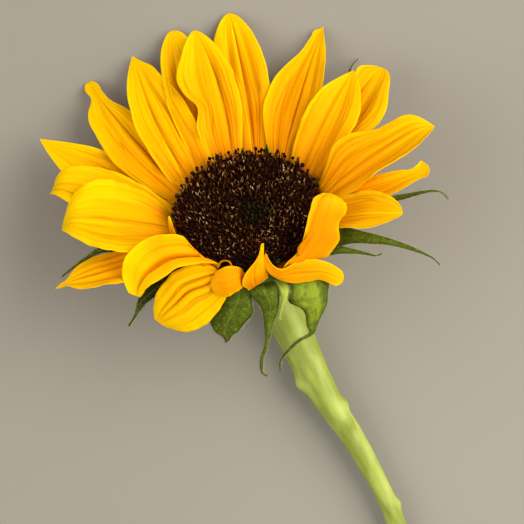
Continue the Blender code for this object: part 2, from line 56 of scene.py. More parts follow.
# The head's layers
DISC_RADIUS = 26.8
DISC_CLEARANCE = 0.7
FLANGE_BOTTOM = -2.0
RING_INNER_RADIUS = 24.0
RING_OUTER_RADIUS = 30.5
RECEPTACLE_TOP = -7.0
GAP = 0.3
CUP_GAP = 0.6
CUP_THICKNESS = 1.6
SCALE_THICKNESS = 0.3
# The petals' roots stand in a ring with its top at this height
BED_TOP = -4.8
ROOT_DEPTH = 1.2
# A petal of this length and half width has the veins that the material's scales are for
VEIN_LENGTH = 55.0
VEIN_WIDTH = 10.0
PETAL_THICKNESS = 0.45
BRACT_THICKNESS = 0.5
LEAST_HALF_WIDTH = 0.12
# Relief of a petal as a share of its half width: the part's pleat and wave, ribs in a petal of the
# usual width, the curl of its edges, ripples, the depth of a deep groove and the width of a fold
PETAL_PLEAT = 0.03
PETAL_WAVE = 0.08
BRACT_WAVE = 0.04
RIBS = 6.5
RIB_HEIGHT = 0.008
EDGE_CURL = (-0.10, 0.22)
WIDTH_RIPPLE = 0.025
BROAD_RIPPLE = 0.02
EDGE_RIPPLE = 0.045
DEEP_GROOVE = 0.12
FOLD_WIDTH = 0.15
# The share of the length by which most relief has come up from nothing at the root
RELIEF_RISE = 0.3
# How a near petal and a near bract bend across: 1 is a sharp fold and 2 an even arch
PETAL_BEND = 1.6
BRACT_BEND = 2.0
# How many steps each grid has along a blade and across it
PETAL_ROWS, PETAL_COLUMNS = 60, 36
BRACT_ROWS, BRACT_COLUMNS = 60, 16
HAIR_ROWS, HAIR_COLUMNS = 90, 8
# Bodies turned round the disc: their sides, and how far and how finely their corners are rounded
RING_SIDES = 96
CORNER_SHARE = 0.35
CORNER_REACH = 0.8
CORNER_STEPS = 3

# The photo's view: straight down, this far above the disc, with the photo's right turned clockwise
VIEW_DISTANCE = 550.0
VIEW_TURN = 26.0
VIEW_SHIFT = (5.4, -19.1)
VIEW_WIDTH = 188.6
SENSOR = 36.0


@dataclass
class Blade:
    """One petal or bract. Lengths are in millimetres and angles in degrees."""

    azimuth: float  # of the root round the disc: 0 is +X, 90 the far side
    length: float
    width: float
    lifts: tuple  # slope of the spine above the disc's plane at the root, half way and tip
    skew: float = 0.0  # how far the root points away from straight out
    turn: float = 0.0  # how much further the spine swings by the tip
    hook: float = 0.0  # extra curl of the last fifth
    root_radius: float = 27.2
    root_height: float = -4.6
    root_width: float = 0.42  # share of the full width
    peak: float = 0.5  # where it is widest, from 0 at the root to 1
    taper: float = 2.0  # under 2 is more pointed
    blunt: float = 1.0  # under 1 is rounder at the tip
    tip_width: float = 0.0  # share of the full width that a cut-off tip keeps
    cups: tuple = (0.25, 0.1)  # how far the edges stand up, near the root and at the tip


BACK_PETALS = [
    Blade(112, 62, 18, (24, 16, 12), skew=-17, turn=-3, root_height=-5.4, blunt=0.5),
    Blade(158, 63.5, 19, (12, 6, 6), skew=-14, turn=-13, root_height=-5.4, taper=1.6),
    Blade(32, 54, 18, (14, 8, 4), skew=11, turn=2, root_height=-5.4, blunt=0.5, peak=0.6),
    Blade(-8, 41, 12, (20, 12, 14), skew=4, turn=12, root_height=-5.4, tip_width=0.5, peak=0.4),
    Blade(195, 48, 15, (10, 0, -8), skew=1, turn=-20, hook=-20, root_height=-5.4),
]
MIDDLE_PETALS = [
    Blade(77, 63, 21, (19, 16.5, 14), skew=9, turn=3, root_height=-5.0, blunt=0.6),
    Blade(145, 67, 20, (14.3, 8.0, -4), skew=-19, turn=-22, tip_width=0.3, peak=0.42, taper=1.6),
    Blade(31, 46, 20, (22, 14, 8), skew=19, turn=6, root_width=0.7),
    Blade(166, 52, 19, (20, 14, -10), skew=-11, hook=-60, taper=2.6, blunt=0.5),
    Blade(90, 55, 18, (24, 17, 12), skew=3, turn=4, root_height=-4.6, root_width=0.7),
]
FRONT_PETALS = [
    Blade(
        126, 61, 22, (22, 12, 4), skew=-15, turn=-12, root_height=-4.2, root_width=0.8, peak=0.45, taper=1.7
    ),
    Blade(54, 62.5, 22, (16.5, 8.4, 0), skew=14, turn=-9, root_height=-4.2, peak=0.42, taper=1.5),
    Blade(98, 56, 20, (30, 20, 11), skew=-9, turn=6, root_height=-4.0, root_width=0.6, blunt=0.7),
    Blade(3, 50, 22, (26, 16, 10), skew=18, turn=-10, hook=-40, root_height=-4.2, peak=0.58),
    Blade(-20, 32, 17, (34, 20, 4), skew=0, turn=-9, root_height=-4.2, root_width=0.6, blunt=0.6),
    Blade(178, 44, 33, (34, 16, -14), skew=-1, turn=-14, hook=-40, root_width=0.45, blunt=0.5),
]

# Where a petal's edge swells or is notched: by the petal's azimuth, its side, its share of the
# length, how long the stretch is and how much of the half width it adds
SWELLS = {
    98: [(1, 0.40, 0.10, -0.35), (1, 0.66, 0.14, 0.25)],
    54: [(1, 0.78, 0.12, -0.30), (1, 0.955, 0.035, 0.80)],
    32: [(1, 0.94, 0.06, 0.55), (-1, 0.94, 0.05, 0.05), (-1, 0.60, 0.22, 0.40)],
    195: [(1, 0.91, 0.06, -0.60), (-1, 0.91, 0.06, -0.55), (-1, 0.72, 0.12, 0.15)],
    166: [(1, 1.0, 0.25, -0.50)],
    178: [(1, 1.0, 0.32, -0.50), (-1, 1.0, 0.20, 0.15)],
    145: [(1, 0.86, 0.06, -0.35), (1, 0.74, 0.10, 0.20), (-1, 0.80, 0.08, -0.30)],
    126: [(-1, 0.86, 0.07, 0.25)],
    3: [(1, 0.30, 0.17, 0.32), (1, 0.66, 0.14, -0.20), (1, 0.87, 0.06, 0.18), (-1, 0.80, 0.14, 0.08)],
    -8: [(1, 0.97, 0.03, 0.50), (1, 0.86, 0.05, -0.15), (-1, 0.95, 0.03, 0.40)],
}

# The near petals and bracts stand up, fold over and curl, so each is a sheet through rows of three
# places, from its root to its tip: on one edge, in its middle and on the other edge. They are in
# millimetres from the disc's middle to the right, upwards and towards the eye in the photo's view.
NEAR_SHEETS = [
    [
        ((-19.5, -20, 6), (-16, -22.5, 8), (-12, -24, 10)),
        ((-18, -14, 14), (-14, -17, 14.5), (-9.5, -20, 17)),
        ((-22.5, -10, 16.5), (-20, -15.5, 15.5), (-16, -19.5, 18)),
        ((-29.5, -9.5, 17), (-27, -16, 15), (-23.5, -21, 18)),
        ((-36.5, -11.5, 14.5), (-32.5, -18.5, 12.5), (-29, -24.5, 16)),
        ((-42.5, -17.5, 13.5), (-37, -22.5, 11.5), (-34, -27.5, 14.5)),
        ((-44, -24, 10), (-39, -27, 9.5), (-36.5, -30, 12)),
        ((-42, -30, 8.5), (-39.5, -31, 9), (-37.5, -31.5, 10)),
    ],
    [
        ((-12, -24, 10), (-8, -25, 11.5), (-3.5, -25.5, 12.5)),
        ((-11, -21, 15.5), (-9, -24.5, 16), (-6, -29, 13)),
        ((-17, -19.5, 15.5), (-14.5, -27.5, 17), (-9, -35, 11)),
        ((-25.5, -22.5, 13.5), (-20.5, -30, 16), (-12.5, -39.5, 9)),
        ((-30.5, -28, 11), (-25.5, -34.5, 13), (-17.5, -43, 7)),
        ((-33, -34.5, 8), (-29.5, -38, 9.5), (-22.5, -44, 5.5)),
        ((-33, -39, 6), (-31.5, -40.5, 6), (-28.5, -42.5, 5)),
    ],
    [
        ((-0.5, -23.5, 15.5), (-0.5, -25, 14), (0, -26.5, 13)),
        ((-2.5, -21, 19.5), (-2.5, -24.5, 20), (-2, -28.5, 17.5)),
        ((-6, -20.5, 20.5), (-6.5, -26, 21.5), (-4.5, -30, 18)),
        ((-10, -22, 19.5), (-10, -26.5, 20.5), (-7, -31.5, 17)),
        ((-12, -25, 18), (-12, -27.5, 18.5), (-10, -30.5, 16.5)),
        ((-12.5, -27, 17), (-12, -28.5, 17), (-11, -30, 16.5)),
    ],
    [
        ((7.5, -24, 14), (3.5, -26.5, 14), (0.5, -28.5, 14.5)),
        ((7, -22, 17.5), (3.3, -24.3, 18.5), (-1.4, -27.2, 18.5)),
        ((6.5, -20, 20.5), (3.5, -21, 21.5), (-0.5, -23.5, 21.5)),
        ((6, -17.5, 23), (4.5, -18, 23.5), (3, -19, 23.5)),
        ((6, -15, 25), (5.5, -15.5, 25), (4.5, -16, 25)),
        ((6, -12.5, 27), (5.5, -12.5, 27), (5, -12.5, 27)),
    ],
    [
        ((5.5, -17.5, 23), (6, -16, 24), (6.5, -15.5, 24.5)),
        ((7.5, -22.5, 18.5), (8.5, -21, 19.5), (9, -20, 20.5)),
        ((11, -25, 15), (12, -23.5, 17), (12.5, -21.5, 18.5)),
        ((16, -26.5, 13), (16.5, -23, 15.5), (17.5, -19, 17.5)),
        ((21.5, -26, 11.5), (21.5, -22.5, 14), (22.5, -18, 15.5)),
        ((26.5, -25.5, 9.5), (27, -22.5, 12), (28, -19, 12.5)),
        ((31.5, -27.5, 6.5), (31.5, -24, 8.5), (32, -21, 9)),
        ((34, -26.5, 5), (34.5, -24.5, 5.5), (34, -22.5, 6)),
    ],
    [
        ((24.5, -15, 7.5), (19.5, -18.5, 10.5), (12.5, -22.5, 12.7)),
        ((28, -17.5, 12.5), (22, -18, 16), (13.5, -20.5, 19)),
        ((32.5, -11.5, 13.5), (26, -12, 17.5), (18.5, -15, 20.5)),
        ((32, -6, 15.5), (27, -6, 19.5), (20.6, -7.5, 21.5)),
        ((34.7, -2, 16), (29, -0.5, 21), (21.8, -1.5, 22.5)),
        ((34.7, 1, 16.5), (29.5, 2.8, 20.5), (23.2, 2.8, 21.5)),
        ((33, 3, 15.5), (30, 4.6, 17.5), (26.5, 4.9, 19)),
    ],
]

# A petal's usual folds: each one's side and how deep it is
USUAL_FOLDS = ((-0.34, 0.09), (0.34, 0.09), (0.0, 0.04))
# Folds of a petal that differ from the usual three: each one's side, how deep it is and how wide
PETAL_FOLDS = {
    178: [(-0.5, 0.05, 0.10), (-0.1, 0.06, 0.12), (0.3, 0.06, 0.10), (0.6, 0.03, 0.10)],
    195: [(-0.15, 0.30, 0.07), (0.45, 0.08, 0.10)],
    77: [(-0.18, 0.17, 0.06), (0.38, 0.06, 0.12), (-0.60, 0.04, 0.12)],
    54: [(-0.10, 0.17, 0.06), (0.42, 0.07, 0.12), (-0.55, 0.07, 0.12)],
    98: [(-0.42, 0.14, 0.06), (0.0, 0.05, 0.14), (0.40, 0.05, 0.12)],
    3: [(0.05, 0.17, 0.06), (0.55, 0.04, 0.12), (-0.45, 0.05, 0.12)],
    145: [(-0.30, 0.13, 0.06), (0.30, 0.06, 0.12)],
    126: [(-0.35, 0.10, 0.08), (0.30, 0.08, 0.08)],
}
# Two petals' own tones: how smooth they are, and how orange, partly as painted shade, which below 0 is
# more lemon as painted light. Their edges have no curl of their own.
PETAL_TONES = {178: (0.5, -0.45), 195: (0.2, 0.3)}
# The folds of the near petals, by the sheet
SHEET_FOLDS = [
    [(0.30, 0.42, 0.12), (-0.45, 0.05, 0.10)],
    [(-0.40, 0.16, 0.07), (0.0, 0.22, 0.08), (0.38, 0.12, 0.07)],
    [(0.1, 0.03, 0.20)],
    [(0.2, 0.06, 0.20)],
    [(-0.1, 0.10, 0.15), (0.4, 0.04, 0.15)],
    [(0.1, 0.05, 0.15), (0.85, 0.10, 0.20)],
]

# How smooth each near petal is, and how orange, partly its own tone and partly painted shade: below 0 it is
# more lemon, as painted light
NEAR_TONES = [(0.75, -0.3), (0.35, -0.8), (1.0, 1.0), (0.8, 0.4), (0.85, 1.05), (1.0, 1.15)]
# How orange the other petals are at most, as painted shade on the right, which faces away from the key
# light, and below 0 more lemon as painted light on the left
RIGHT_SHADE_ORANGE = 0.35
LEFT_LIGHT_ORANGE = -0.4

# Shreds and curled lips of the near petals, as sheets like those above
SHREDS = [
    [
        ((-27.2, -10, 2), (-26, -10, 3), (-24.6, -9.5, 4)),
        ((-27.8, -7, 5), (-26.5, -7, 6), (-25, -6.5, 6)),
        ((-27.9, -4.5, 7), (-27, -4.5, 7.5), (-26.2, -4.2, 7)),
        ((-27.9, -3, 8), (-27.6, -2.9, 8), (-27.3, -2.9, 8)),
    ],
    [
        ((-9.5, -19.9, 18.2), (-9.5, -19.6, 18.4), (-9.5, -19.4, 18.2)),
        ((-8, -18.9, 19.2), (-8, -18.6, 19.4), (-8, -18.4, 19.2)),
        ((-6.2, -19.1, 19.6), (-6.1, -18.8, 19.8), (-6, -18.6, 19.6)),
        ((-5.1, -20.8, 19.2), (-5, -20.6, 19.4), (-4.9, -20.4, 19.2)),
    ],
    [
        ((17.6, -16.4, 19.5), (18.1, -16, 20.6), (18.6, -15.4, 19.7)),
        ((18, -13.7, 20.5), (19, -13.3, 22), (20.2, -13, 20.8)),
        ((20, -11.6, 21), (20.8, -11.2, 22.3), (21.5, -11.2, 21)),
        ((22.2, -8.9, 21.5), (22.5, -8.7, 22), (22.8, -8.7, 21.5)),
    ],
]
SHRED_TONES = [(0.8, 0.2), (0.5, 1.8), (0.5, 1.5)]

# Bracts taper early to long thin tips
BRACT_FORM = dict(
    root_radius=24.6, root_height=-10.5, root_width=0.8, peak=0.22, taper=0.65, cups=(0.3, 0.3)
)

BRACTS = [
    Blade(44, 60, 9, (11.5, 5.5, 8), skew=6, turn=7, **BRACT_FORM),
    Blade(-8, 50, 9, (16, 6, -4), skew=1, turn=10, hook=-50, **BRACT_FORM),
    Blade(-32, 49, 10, (24, 6, -20), skew=12, turn=-18, **BRACT_FORM),
    Blade(-44, 28, 8, (24, 8, -6), skew=23, turn=-8, **BRACT_FORM),
]
BRACT_SHEETS = [
    [
        ((-19, -19, -3.5), (-21, -16.2, -4.5), (-22, -13, -5.5)),
        ((-31, -18, -4), (-32, -15.5, -3.5), (-32.5, -13, -4)),
        ((-42, -17, -3), (-42.5, -14.8, -2.5), (-42.5, -12.8, -2.6)),
        ((-52, -16, -2.6), (-52, -14.5, -1.9), (-51.8, -13, -2)),
        ((-60.5, -20, -3.6), (-60, -18.9, -3.2), (-59.4, -17.9, -3.2)),
        ((-67.3, -24.8, -5), (-67, -24.2, -5), (-66.6, -23.6, -5)),
    ],
    [
        ((-16.5, -20.5, 0), (-14, -23, 1.5), (-11, -25, 3)),
        ((-24, -20, 2.5), (-21.5, -23.5, 4), (-18, -27, 4)),
        ((-33, -26, 2), (-31, -27.5, 3.5), (-27.5, -29.5, 3.5)),
        ((-39, -31.5, 0.5), (-37.5, -33, 1.5), (-34.5, -33, 1.5)),
        ((-40, -35, 0), (-38.5, -35.5, 0.5), (-37.5, -35.5, 0.5)),
        ((-41, -39, 0), (-40.5, -39, 0), (-40, -39, 0)),
        ((-43, -42, 1), (-42.5, -42, 1), (-42.2, -42, 1)),
    ],
    [
        ((-7, -25, 4), (-3, -26, 5.5), (1, -26.5, 6)),
        ((-9, -31, 5), (-3, -32.5, 7), (2, -34, 6)),
        ((-13.5, -38.5, 1.5), (-6, -39, 5), (2, -39, 4.5)),
        ((-14, -43, -1), (-8, -43, 2), (-1, -43.5, 2.5)),
        ((-10, -45.5, -1), (-7.5, -45.5, 0.5), (-4.5, -45.5, 0.5)),
        ((-7.5, -48, -1), (-7, -48, -1), (-6.5, -47.5, -1)),
    ],
    [
        ((0, -25.5, 6), (4.5, -26, 6.5), (9, -25.5, 6.5)),
        ((1, -29.5, 8), (6.5, -29, 10.5), (11.5, -29, 8.5)),
        ((4.5, -35, 6), (8.5, -34.5, 8.5), (11.5, -34.5, 7)),
        ((6, -42, 4), (8, -42, 6), (9.5, -41.5, 5)),
        ((6, -49, 2), (7, -49, 3.5), (7.7, -48.5, 3)),
        ((4.5, -55, 0), (5.2, -55, 0.5), (6, -54.5, 0.5)),
        ((5.2, -60, -1.5), (5.5, -60.5, -1.5), (5.8, -60.2, -1.5)),
    ],
    [
        ((9, -24.5, 6), (10.5, -24.5, 6), (12.5, -24, 6)),
        ((11.5, -28.5, 9.5), (13, -28.5, 10), (15, -28, 9.5)),
        ((12.3, -32, 9), (13.3, -32.4, 9.5), (14.4, -32.4, 9)),
        ((11.7, -36, 7.5), (12.2, -36.2, 8), (13, -36, 7.5)),
        ((11.3, -39.6, 6), (11.5, -39.6, 6), (11.8, -39.6, 6)),
    ],
    [
        ((11.5, -23, 6), (15.5, -21.5, 5), (20, -19.5, 3)),
        ((14.5, -27.5, 8.5), (21, -26, 8), (29, -25, 3.5)),
        ((15, -33.5, 7.5), (22.5, -33, 7.5), (29, -31.5, 3)),
        ((20, -36.5, 6), (24, -37, 5.5), (27.5, -36.5, 2.5)),
        ((21, -41.5, 3), (23.5, -41.5, 3), (26, -41, 1.5)),
        ((22, -44.5, 1), (23, -45, 0.5), (24, -45, 0)),
        ((18, -47, 0), (18.5, -47.6, 0), (18.8, -48.2, 0)),
        ((14, -51, -1), (14.4, -51.5, -1), (14.8, -52, -1)),
        ((11.7, -55, -2), (12, -55, -2), (12.4, -55, -2)),
        ((11.7, -58.3, -3), (12, -58.3, -3), (12.3, -58.3, -3)),
    ],
]
# How pale each shown bract is at its root and at its tip, partly its own tone and partly painted light, with
# values below 0 for painted shade, and how far its tip curls aside, in mm
BRACT_LOOKS = [(0.2, 0.1, -1.2), (0.2, 0.2, -1.8), (0.2, 0.3, -1.2), (0.35, 0.6, 1.6)]
SHEET_LOOKS = [
    (-0.3, 0, 0),
    (-0.8, -0.4, 0.3),
    (0.05, 0.1, -0.8),
    (0.1, 0.5, 1.8),
    (1.0, 1.0, 0.8),
    (0.75, 0, 0),
]
HIDDEN_LOOK = (0.25, 0.2, 1.5)
# How much slimmer bracts are past their middle than the part's
BRACT_SLIMNESS = 0.25
# Bracts' hairs: how many each face has, the rows of the hair grid that its edges have them at, and
# how thick they are
FACE_HAIRS = 300
EDGE_ROWS = np.arange(4, 88)
FACE_HAIR_RADIUS = 0.04
EDGE_HAIR_RADIUS = 0.08
# How many bracts the petals hide, and between which azimuths
HIDDEN_BRACTS = 9
HIDDEN_FROM = 12
HIDDEN_TO = 178

# Stem: places of its middle from the disc's middle, and its radius there, in the world
STEM_ROUTE = [
    ((-4.4, -17.5, -24.0), 8.6),
    ((-5.2, -23.0, -29.0), 7.4),
    ((-5.2, -30.0, -32.4), 7.0),
    ((-4.9, -39.0, -33.9), 7.0),
    ((-4.4, -50.0, -34.2), 7.0),
    ((-4.7, -68.0, -34.7), 6.1),
    ((-3.4, -83.0, -35.2), 4.9),
    ((-1.4, -97.0, -35.8), 4.3),
    ((-0.4, -118.0, -36.7), 3.5),
    ((-1.0, -131.0, -37.2), 3.5),
    ((-3.0, -168.0, -38.3), 3.8),
    ((-2.0, -200.0, -38.8), 4.2),
]
# The flare of the receptacle under the disc: height in the head's frame, and radius
RECEPTACLE = [(-7.0, 24.0), (-9.5, 23.8), (-12.5, 21.6), (-15.5, 17.0), (-18.5, 12.6), (-22.0, 10.0)]
STEM_SPACING = 1.0
STEM_SIDES = 64
# Its fine ridges: how many, how high as a share of its radius, and where they start
STEM_RIDGES = ((11, 0.007, 0.0), (23, 0.004, 1.0))
STEM_HAIRS = 5200
STEM_HAIR_RADIUS = 0.035
# The rings before this one are inside the cup and have no hairs
HAIRLESS_RINGS = 34
# Leaf scars and nubs: distance from the disc's middle along -Y, turn round the stem, size
NUBS = [(68, 165, 3.2), (82, 20, 2.4), (90, 60, 2.2), (126, 20, 2.2), (127, 85, 2.2), (165, 100, 2.2)]

# Disc: how many florets there are, how far they stray from their spiral and their lean, and the
# spot that the buds are round, a little off the middle
FLORETS = 820
FLORET_JITTER = 0.16
BUDS_AT = np.array((3.3, -2.3))
# Florets nearer to it than the first share of the disc's radius are buds, and of those further out
# than the second share this many are knobs
BUD_SHARE = 0.22
OPEN_SHARE = 0.86
KNOB_SHARE = 0.55
STRAY_KNOBS = 40
BRISTLES = 800
# Scales at the disc's rim: azimuth, height and width
RIM_SCALES = [(105, 4.6, 2.6), (64, 5.4, 2.4), (35, 5.4, 2.6), (9, 3.6, 2.2), (-5, 3.6, 2.4)]
RIM_SCALES += [(84, 3.4, 2.0), (128, 3.2, 2.0)]
RIM_SCALES += [(azimuth, 3.0, 2.0) for azimuth in (152, 175, 200, 228, 256, 285, 312)]
RIM_SCALES += [(338, 3.2, 2.0)]
GOLDEN_TURN = math.pi * (3 - math.sqrt(5))

# Colours along a petal; along a bract that is dark, partly as painted shade, and one that is pale, partly as
# painted light; up a floret and among floret tops
PETAL_STOPS = [
    (0.0, (0.50, 0.11, 0.0)),
    (0.07, (0.80, 0.22, 0.0)),
    (0.25, (0.96, 0.37, 0.0)),
    (0.6, (0.99, 0.53, 0.0)),
    (1.0, (1.0, 0.68, 0.0)),
]
DARK_AND_SHADED_BRACT_STOPS = [
    (0.0, (0.09, 0.12, 0.004)),
    (0.5, (0.06, 0.085, 0.002)),
    (0.85, (0.06, 0.065, 0.004)),
    (1.0, (0.020, 0.014, 0.004)),
]
PALE_AND_LIT_BRACT_STOPS = [
    (0.0, (0.34, 0.43, 0.025)),
    (0.5, (0.21, 0.27, 0.012)),
    (0.8, (0.10, 0.13, 0.006)),
    (1.0, (0.04, 0.04, 0.008)),
]
FLORET_FOOT_STOPS = [
    (0.0, (0.006, 0.001, 0.0005)),
    (0.45, (0.020, 0.003, 0.001)),
    (1.0, (0.060, 0.012, 0.002)),
]
FLORET_TOP_STOPS = [
    (0.0, (0.02, 0.004, 0.002)),
    (0.35, (0.06, 0.014, 0.004)),
    (0.55, (0.20, 0.065, 0.012)),
    (0.75, (0.36, 0.15, 0.03)),
    (0.88, (0.46, 0.26, 0.08)),
    (1.0, (0.60, 0.42, 0.22)),
]
PLAIN_SPECULAR = 0.5

# Lights: way from the head to the photo's right, upwards and towards the eye in metres, then size,
# power and colour
LIGHTS = {
    "key": ((0.72, 0.16, 0.60), 1.1, 16.5, (1.0, 0.98, 0.94)),
    "fill": ((-0.7, -0.2, 0.7), 0.9, 6.0, (1.0, 0.99, 0.97)),
}
WORLD_COLOUR = (1.0, 0.98, 0.95)
WORLD_STRENGTH = 0.6
FLOOR_REACH = 3.0


def head_axes():
    """The head's axes in the world, as the columns of a matrix."""
    tilt = math.radians(HEAD_TILT)
    lean = math.radians(HEAD_LEAN)
    face = np.array((math.sin(tilt) * math.sin(lean), math.sin(tilt) * math.cos(lean), math.cos(tilt)))
    right = np.array((math.cos(lean), -math.sin(lean), 0.0))
    return np.stack((right, np.cross(face, right), face), axis=1)


def photo_axes():
    """The photo's right, up and towards the eye in the world, as the columns of a matrix."""
    turn = math.radians(VIEW_TURN)
    right = (math.cos(turn), -math.sin(turn), 0.0)
    up = (math.sin(turn), math.cos(turn), 0.0)
    return np.array((right, up, (0.0, 0.0, 1.0))).T


HEAD_AXES = head_axes()
PHOTO_AXES = photo_axes()


def in_world(points):
    """Points of the head's frame, in millimetres, as places in the world, in metres."""
    return (points @ HEAD_AXES.T + HEAD_PLACE) * MM


def ease(value):
    """From 0 to 1 with a soft start and a soft end."""
    value = np.clip(value, 0.0, 1.0)
    return value * value * (3.0 - 2.0 * value)


def toward(angle):
    """The direction at an angle from +X in the disc's plane."""
    return np.array((math.cos(angle), math.sin(angle)))


def unit(vectors):
    return vectors / (np.linalg.norm(vectors, axis=-1, keepdims=True) + TINY)


def through(first, middle, last, share):
    """A smooth value that is first at 0, middle at a half and last at 1."""
    start = first * (1 - share) * (1 - 2 * share)
    return start + 4 * middle * share * (1 - share) + last * share * (2 * share - 1)


def spline(knots, places):
    """A smooth curve through knots, at places that count from 0 at the first knot."""
    index = np.minimum(places.astype(int), len(knots) - 2)
    part = (places - index).reshape(-1, *(1,) * (knots.ndim - 1))
    before, start = knots[np.maximum(index - 1, 0)], knots[index]
    end, after = knots[index + 1], knots[np.minimum(index + 2, len(knots) - 1)]
    cubic = 3 * (start - end) + after - before
    square = 2 * before - 5 * start + 4 * end - after
    return start + 0.5 * part * (end - before + part * (square + part * cubic))


def ripple(phases, values, waves):
    """A smooth irregular value round 0, about 1 high, with about that many waves from 0 to 1."""
    total = np.zeros_like(values)
    for octave, phase in zip((0.6, 1.0, 1.7, 2.6), phases):
        total += np.sin(2 * math.pi * (values * waves * octave + phase)) / (1 + octave)
    return total / 1.4


# Meshes: a shape is its points and its faces


def show(name, data):
    made = bpy.data.objects.new(name, data)
    bpy.context.scene.collection.objects.link(made)
    return made


def piece(name, points, faces, slot, material, replaced, **tags):
    """A shown object of the flower from points in metres, riding on its one body."""
    mesh = bpy.data.meshes.new(name)
    mesh.from_pydata(points.tolist(), [], faces)
    for tag, values in tags.items():
        kind, field = ("FLOAT_VECTOR", "vector") if values.ndim == 2 else ("FLOAT", "value")
        mesh.attributes.new(tag, kind, "POINT").data.foreach_set(field, values.ravel())
    mesh.polygons.foreach_set("use_smooth", [True] * len(mesh.polygons))
    mesh.materials.append(material)
    made = show(name, mesh)
    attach(made, "root")
    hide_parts(replaced)


def shifted(faces, count):
    return [tuple(index + count for index in face) for face in faces]


class Heap:
    """Closed shapes in the head's frame collected into one, with values for each of their points."""

    def __init__(self):
        self.points = []
        self.faces = []
        self.tags = {}
        self.count = 0

    def add(self, points, faces, **tags):
        self.faces += shifted(faces, self.count)
        self.points.append(points)
        self.count += len(points)
        for tag, values in tags.items():
            values = np.asarray(values, dtype=float)
            if values.ndim == 0 or values.ndim == 1 and len(values) != len(points):
                values = np.broadcast_to(values, (len(points), *values.shape))
            self.tags.setdefault(tag, []).append(values)

    def piece(self, name, *labels):
        tags = {tag: np.concatenate(values) for tag, values in self.tags.items()}
        piece(name, in_world(np.concatenate(self.points)), self.faces, *labels, **tags)


def single(shape, *labels, **tags):
    """A piece from one closed shape in the head's frame."""
    heap = Heap()
    heap.add(*shape, **tags)
    heap.piece(*labels)


def grid_faces(rows, columns, closed_columns=False):
    """Quads of a grid of points, row by row."""
    found = []
    for row in range(0, (rows - 1) * columns, columns):
        for column in range(columns if closed_columns else columns - 1):
            here = row + column
            beside = row + (column + 1) % columns
            found.append((here, here + columns, beside + columns, beside))
    return found


def tube_faces(rings, sides):
    """The faces of a closed tube: quads between its rings, and a cap at each end."""
    last = rings * sides - 1
    return grid_faces(rings, sides, True) + [tuple(range(sides)), tuple(range(last, last - sides, -1))]


def grid_normals(grid):
    return unit(np.cross(np.gradient(grid, axis=0), np.gradient(grid, axis=1)))


def skin(grid, thickness):
    """A closed thin shape round a grid of points: its upper points come first, then its lower ones."""
    rows, columns = grid.shape[:2]
    count = rows * columns
    offset = grid_normals(grid) * (thickness / 2)[:, :, None]
    upper = grid_faces(rows, columns)
    faces = upper + shifted([face[::-1] for face in upper], count)
    index = np.arange(count).reshape(rows, columns)
    rim = np.concatenate((index[0], index[1:, -1], index[-1, -2::-1], index[-2:0:-1, 0])).tolist()
    faces += [(start, end, end + count, start + count) for start, end in zip(rim, rim[1:] + rim[:1])]
    return np.concatenate(((grid + offset).reshape(-1, 3), (grid - offset).reshape(-1, 3))), faces


def around(first, second, sides):
    """Evenly spaced directions round, for each pair of directions at a right angle."""
    angles = np.arange(sides)[:, None] * 2 * math.pi / sides
    return first[:, None] * np.cos(angles) + second[:, None] * np.sin(angles)


def turned(profile, sides):
    """A closed shape from an open profile of (radius, height), turned about +Z, from top to bottom."""
    circle = around(np.array([(1.0, 0.0, 0.0)]), np.array([(0.0, 1.0, 0.0)]), sides)[0]
    rings = [circle * radius + (0.0, 0.0, height) for radius, height in profile]
    return np.concatenate(rings), tube_faces(len(profile), sides)


def ring_body(profile):
    """A closed ring from a closed profile of (radius, height), turned about +Z."""
    points, faces = turned([*profile, profile[0]], RING_SIDES)
    count = RING_SIDES * len(profile)
    return points[:count], [tuple(index % count for index in face) for face in faces[:-2]]


def rounded(profile):
    """A closed profile with its corners softened."""
    found = []
    corners = np.array(profile)
    for before, here, after in zip(np.roll(corners, 1, axis=0), corners, np.roll(corners, -1, axis=0)):
        start, end = (
            here + (other - here) * min(CORNER_SHARE, CORNER_REACH / np.linalg.norm(other - here))
            for other in (before, after)
        )
        for share in np.linspace(0, 1, CORNER_STEPS + 1):
            found.append(start * (1 - share) ** 2 + 2 * here * share * (1 - share) + end * share**2)
    return found


def spikes(roots, ways, lengths, radii):
    """Thin three-sided spikes from roots towards ways, all closed."""
    ways = unit(ways)
    helper = np.where(np.abs(ways[:, 2:]) < 0.9, (0, 0, 1.0), (1.0, 0, 0))
    side = unit(np.cross(ways, helper))
    wide = np.broadcast_to(radii, len(roots))[:, None, None]
    corners = roots[:, None] + around(side, np.cross(ways, side), 3) * wide
    tips = roots + ways * lengths[:, None]
    faces = []
    for start in range(0, 4 * len(roots), 4):
        first, second, third, tip = range(start, start + 4)
        faces += [(first, second, tip), (second, third, tip), (third, first, tip), (first, third, second)]
    return np.concatenate((corners, tips[:, None]), axis=1).reshape(-1, 3), faces


# Petals and bracts


def half_width(blade, share):
    """Half the width along a blade, which swells to its peak and then tapers to its tip."""
    swell = np.sin(math.pi / 2 * np.clip(share / blade.peak, 0, 1)) ** 1.15
    rise = blade.root_width + (1 - blade.root_width) * swell
    past = np.clip((share - blade.peak) / (1 - blade.peak), 0, 1)
    blunt_tip = blade.tip_width * np.sqrt(1 - np.clip((past - 0.86) / 0.15, 0, 1) ** 2)
    fall = np.maximum((1 - past**blade.taper) ** blade.blunt, blunt_tip)
    return np.maximum(blade.width / 2 * np.where(share < blade.peak, rise, fall), LEAST_HALF_WIDTH)


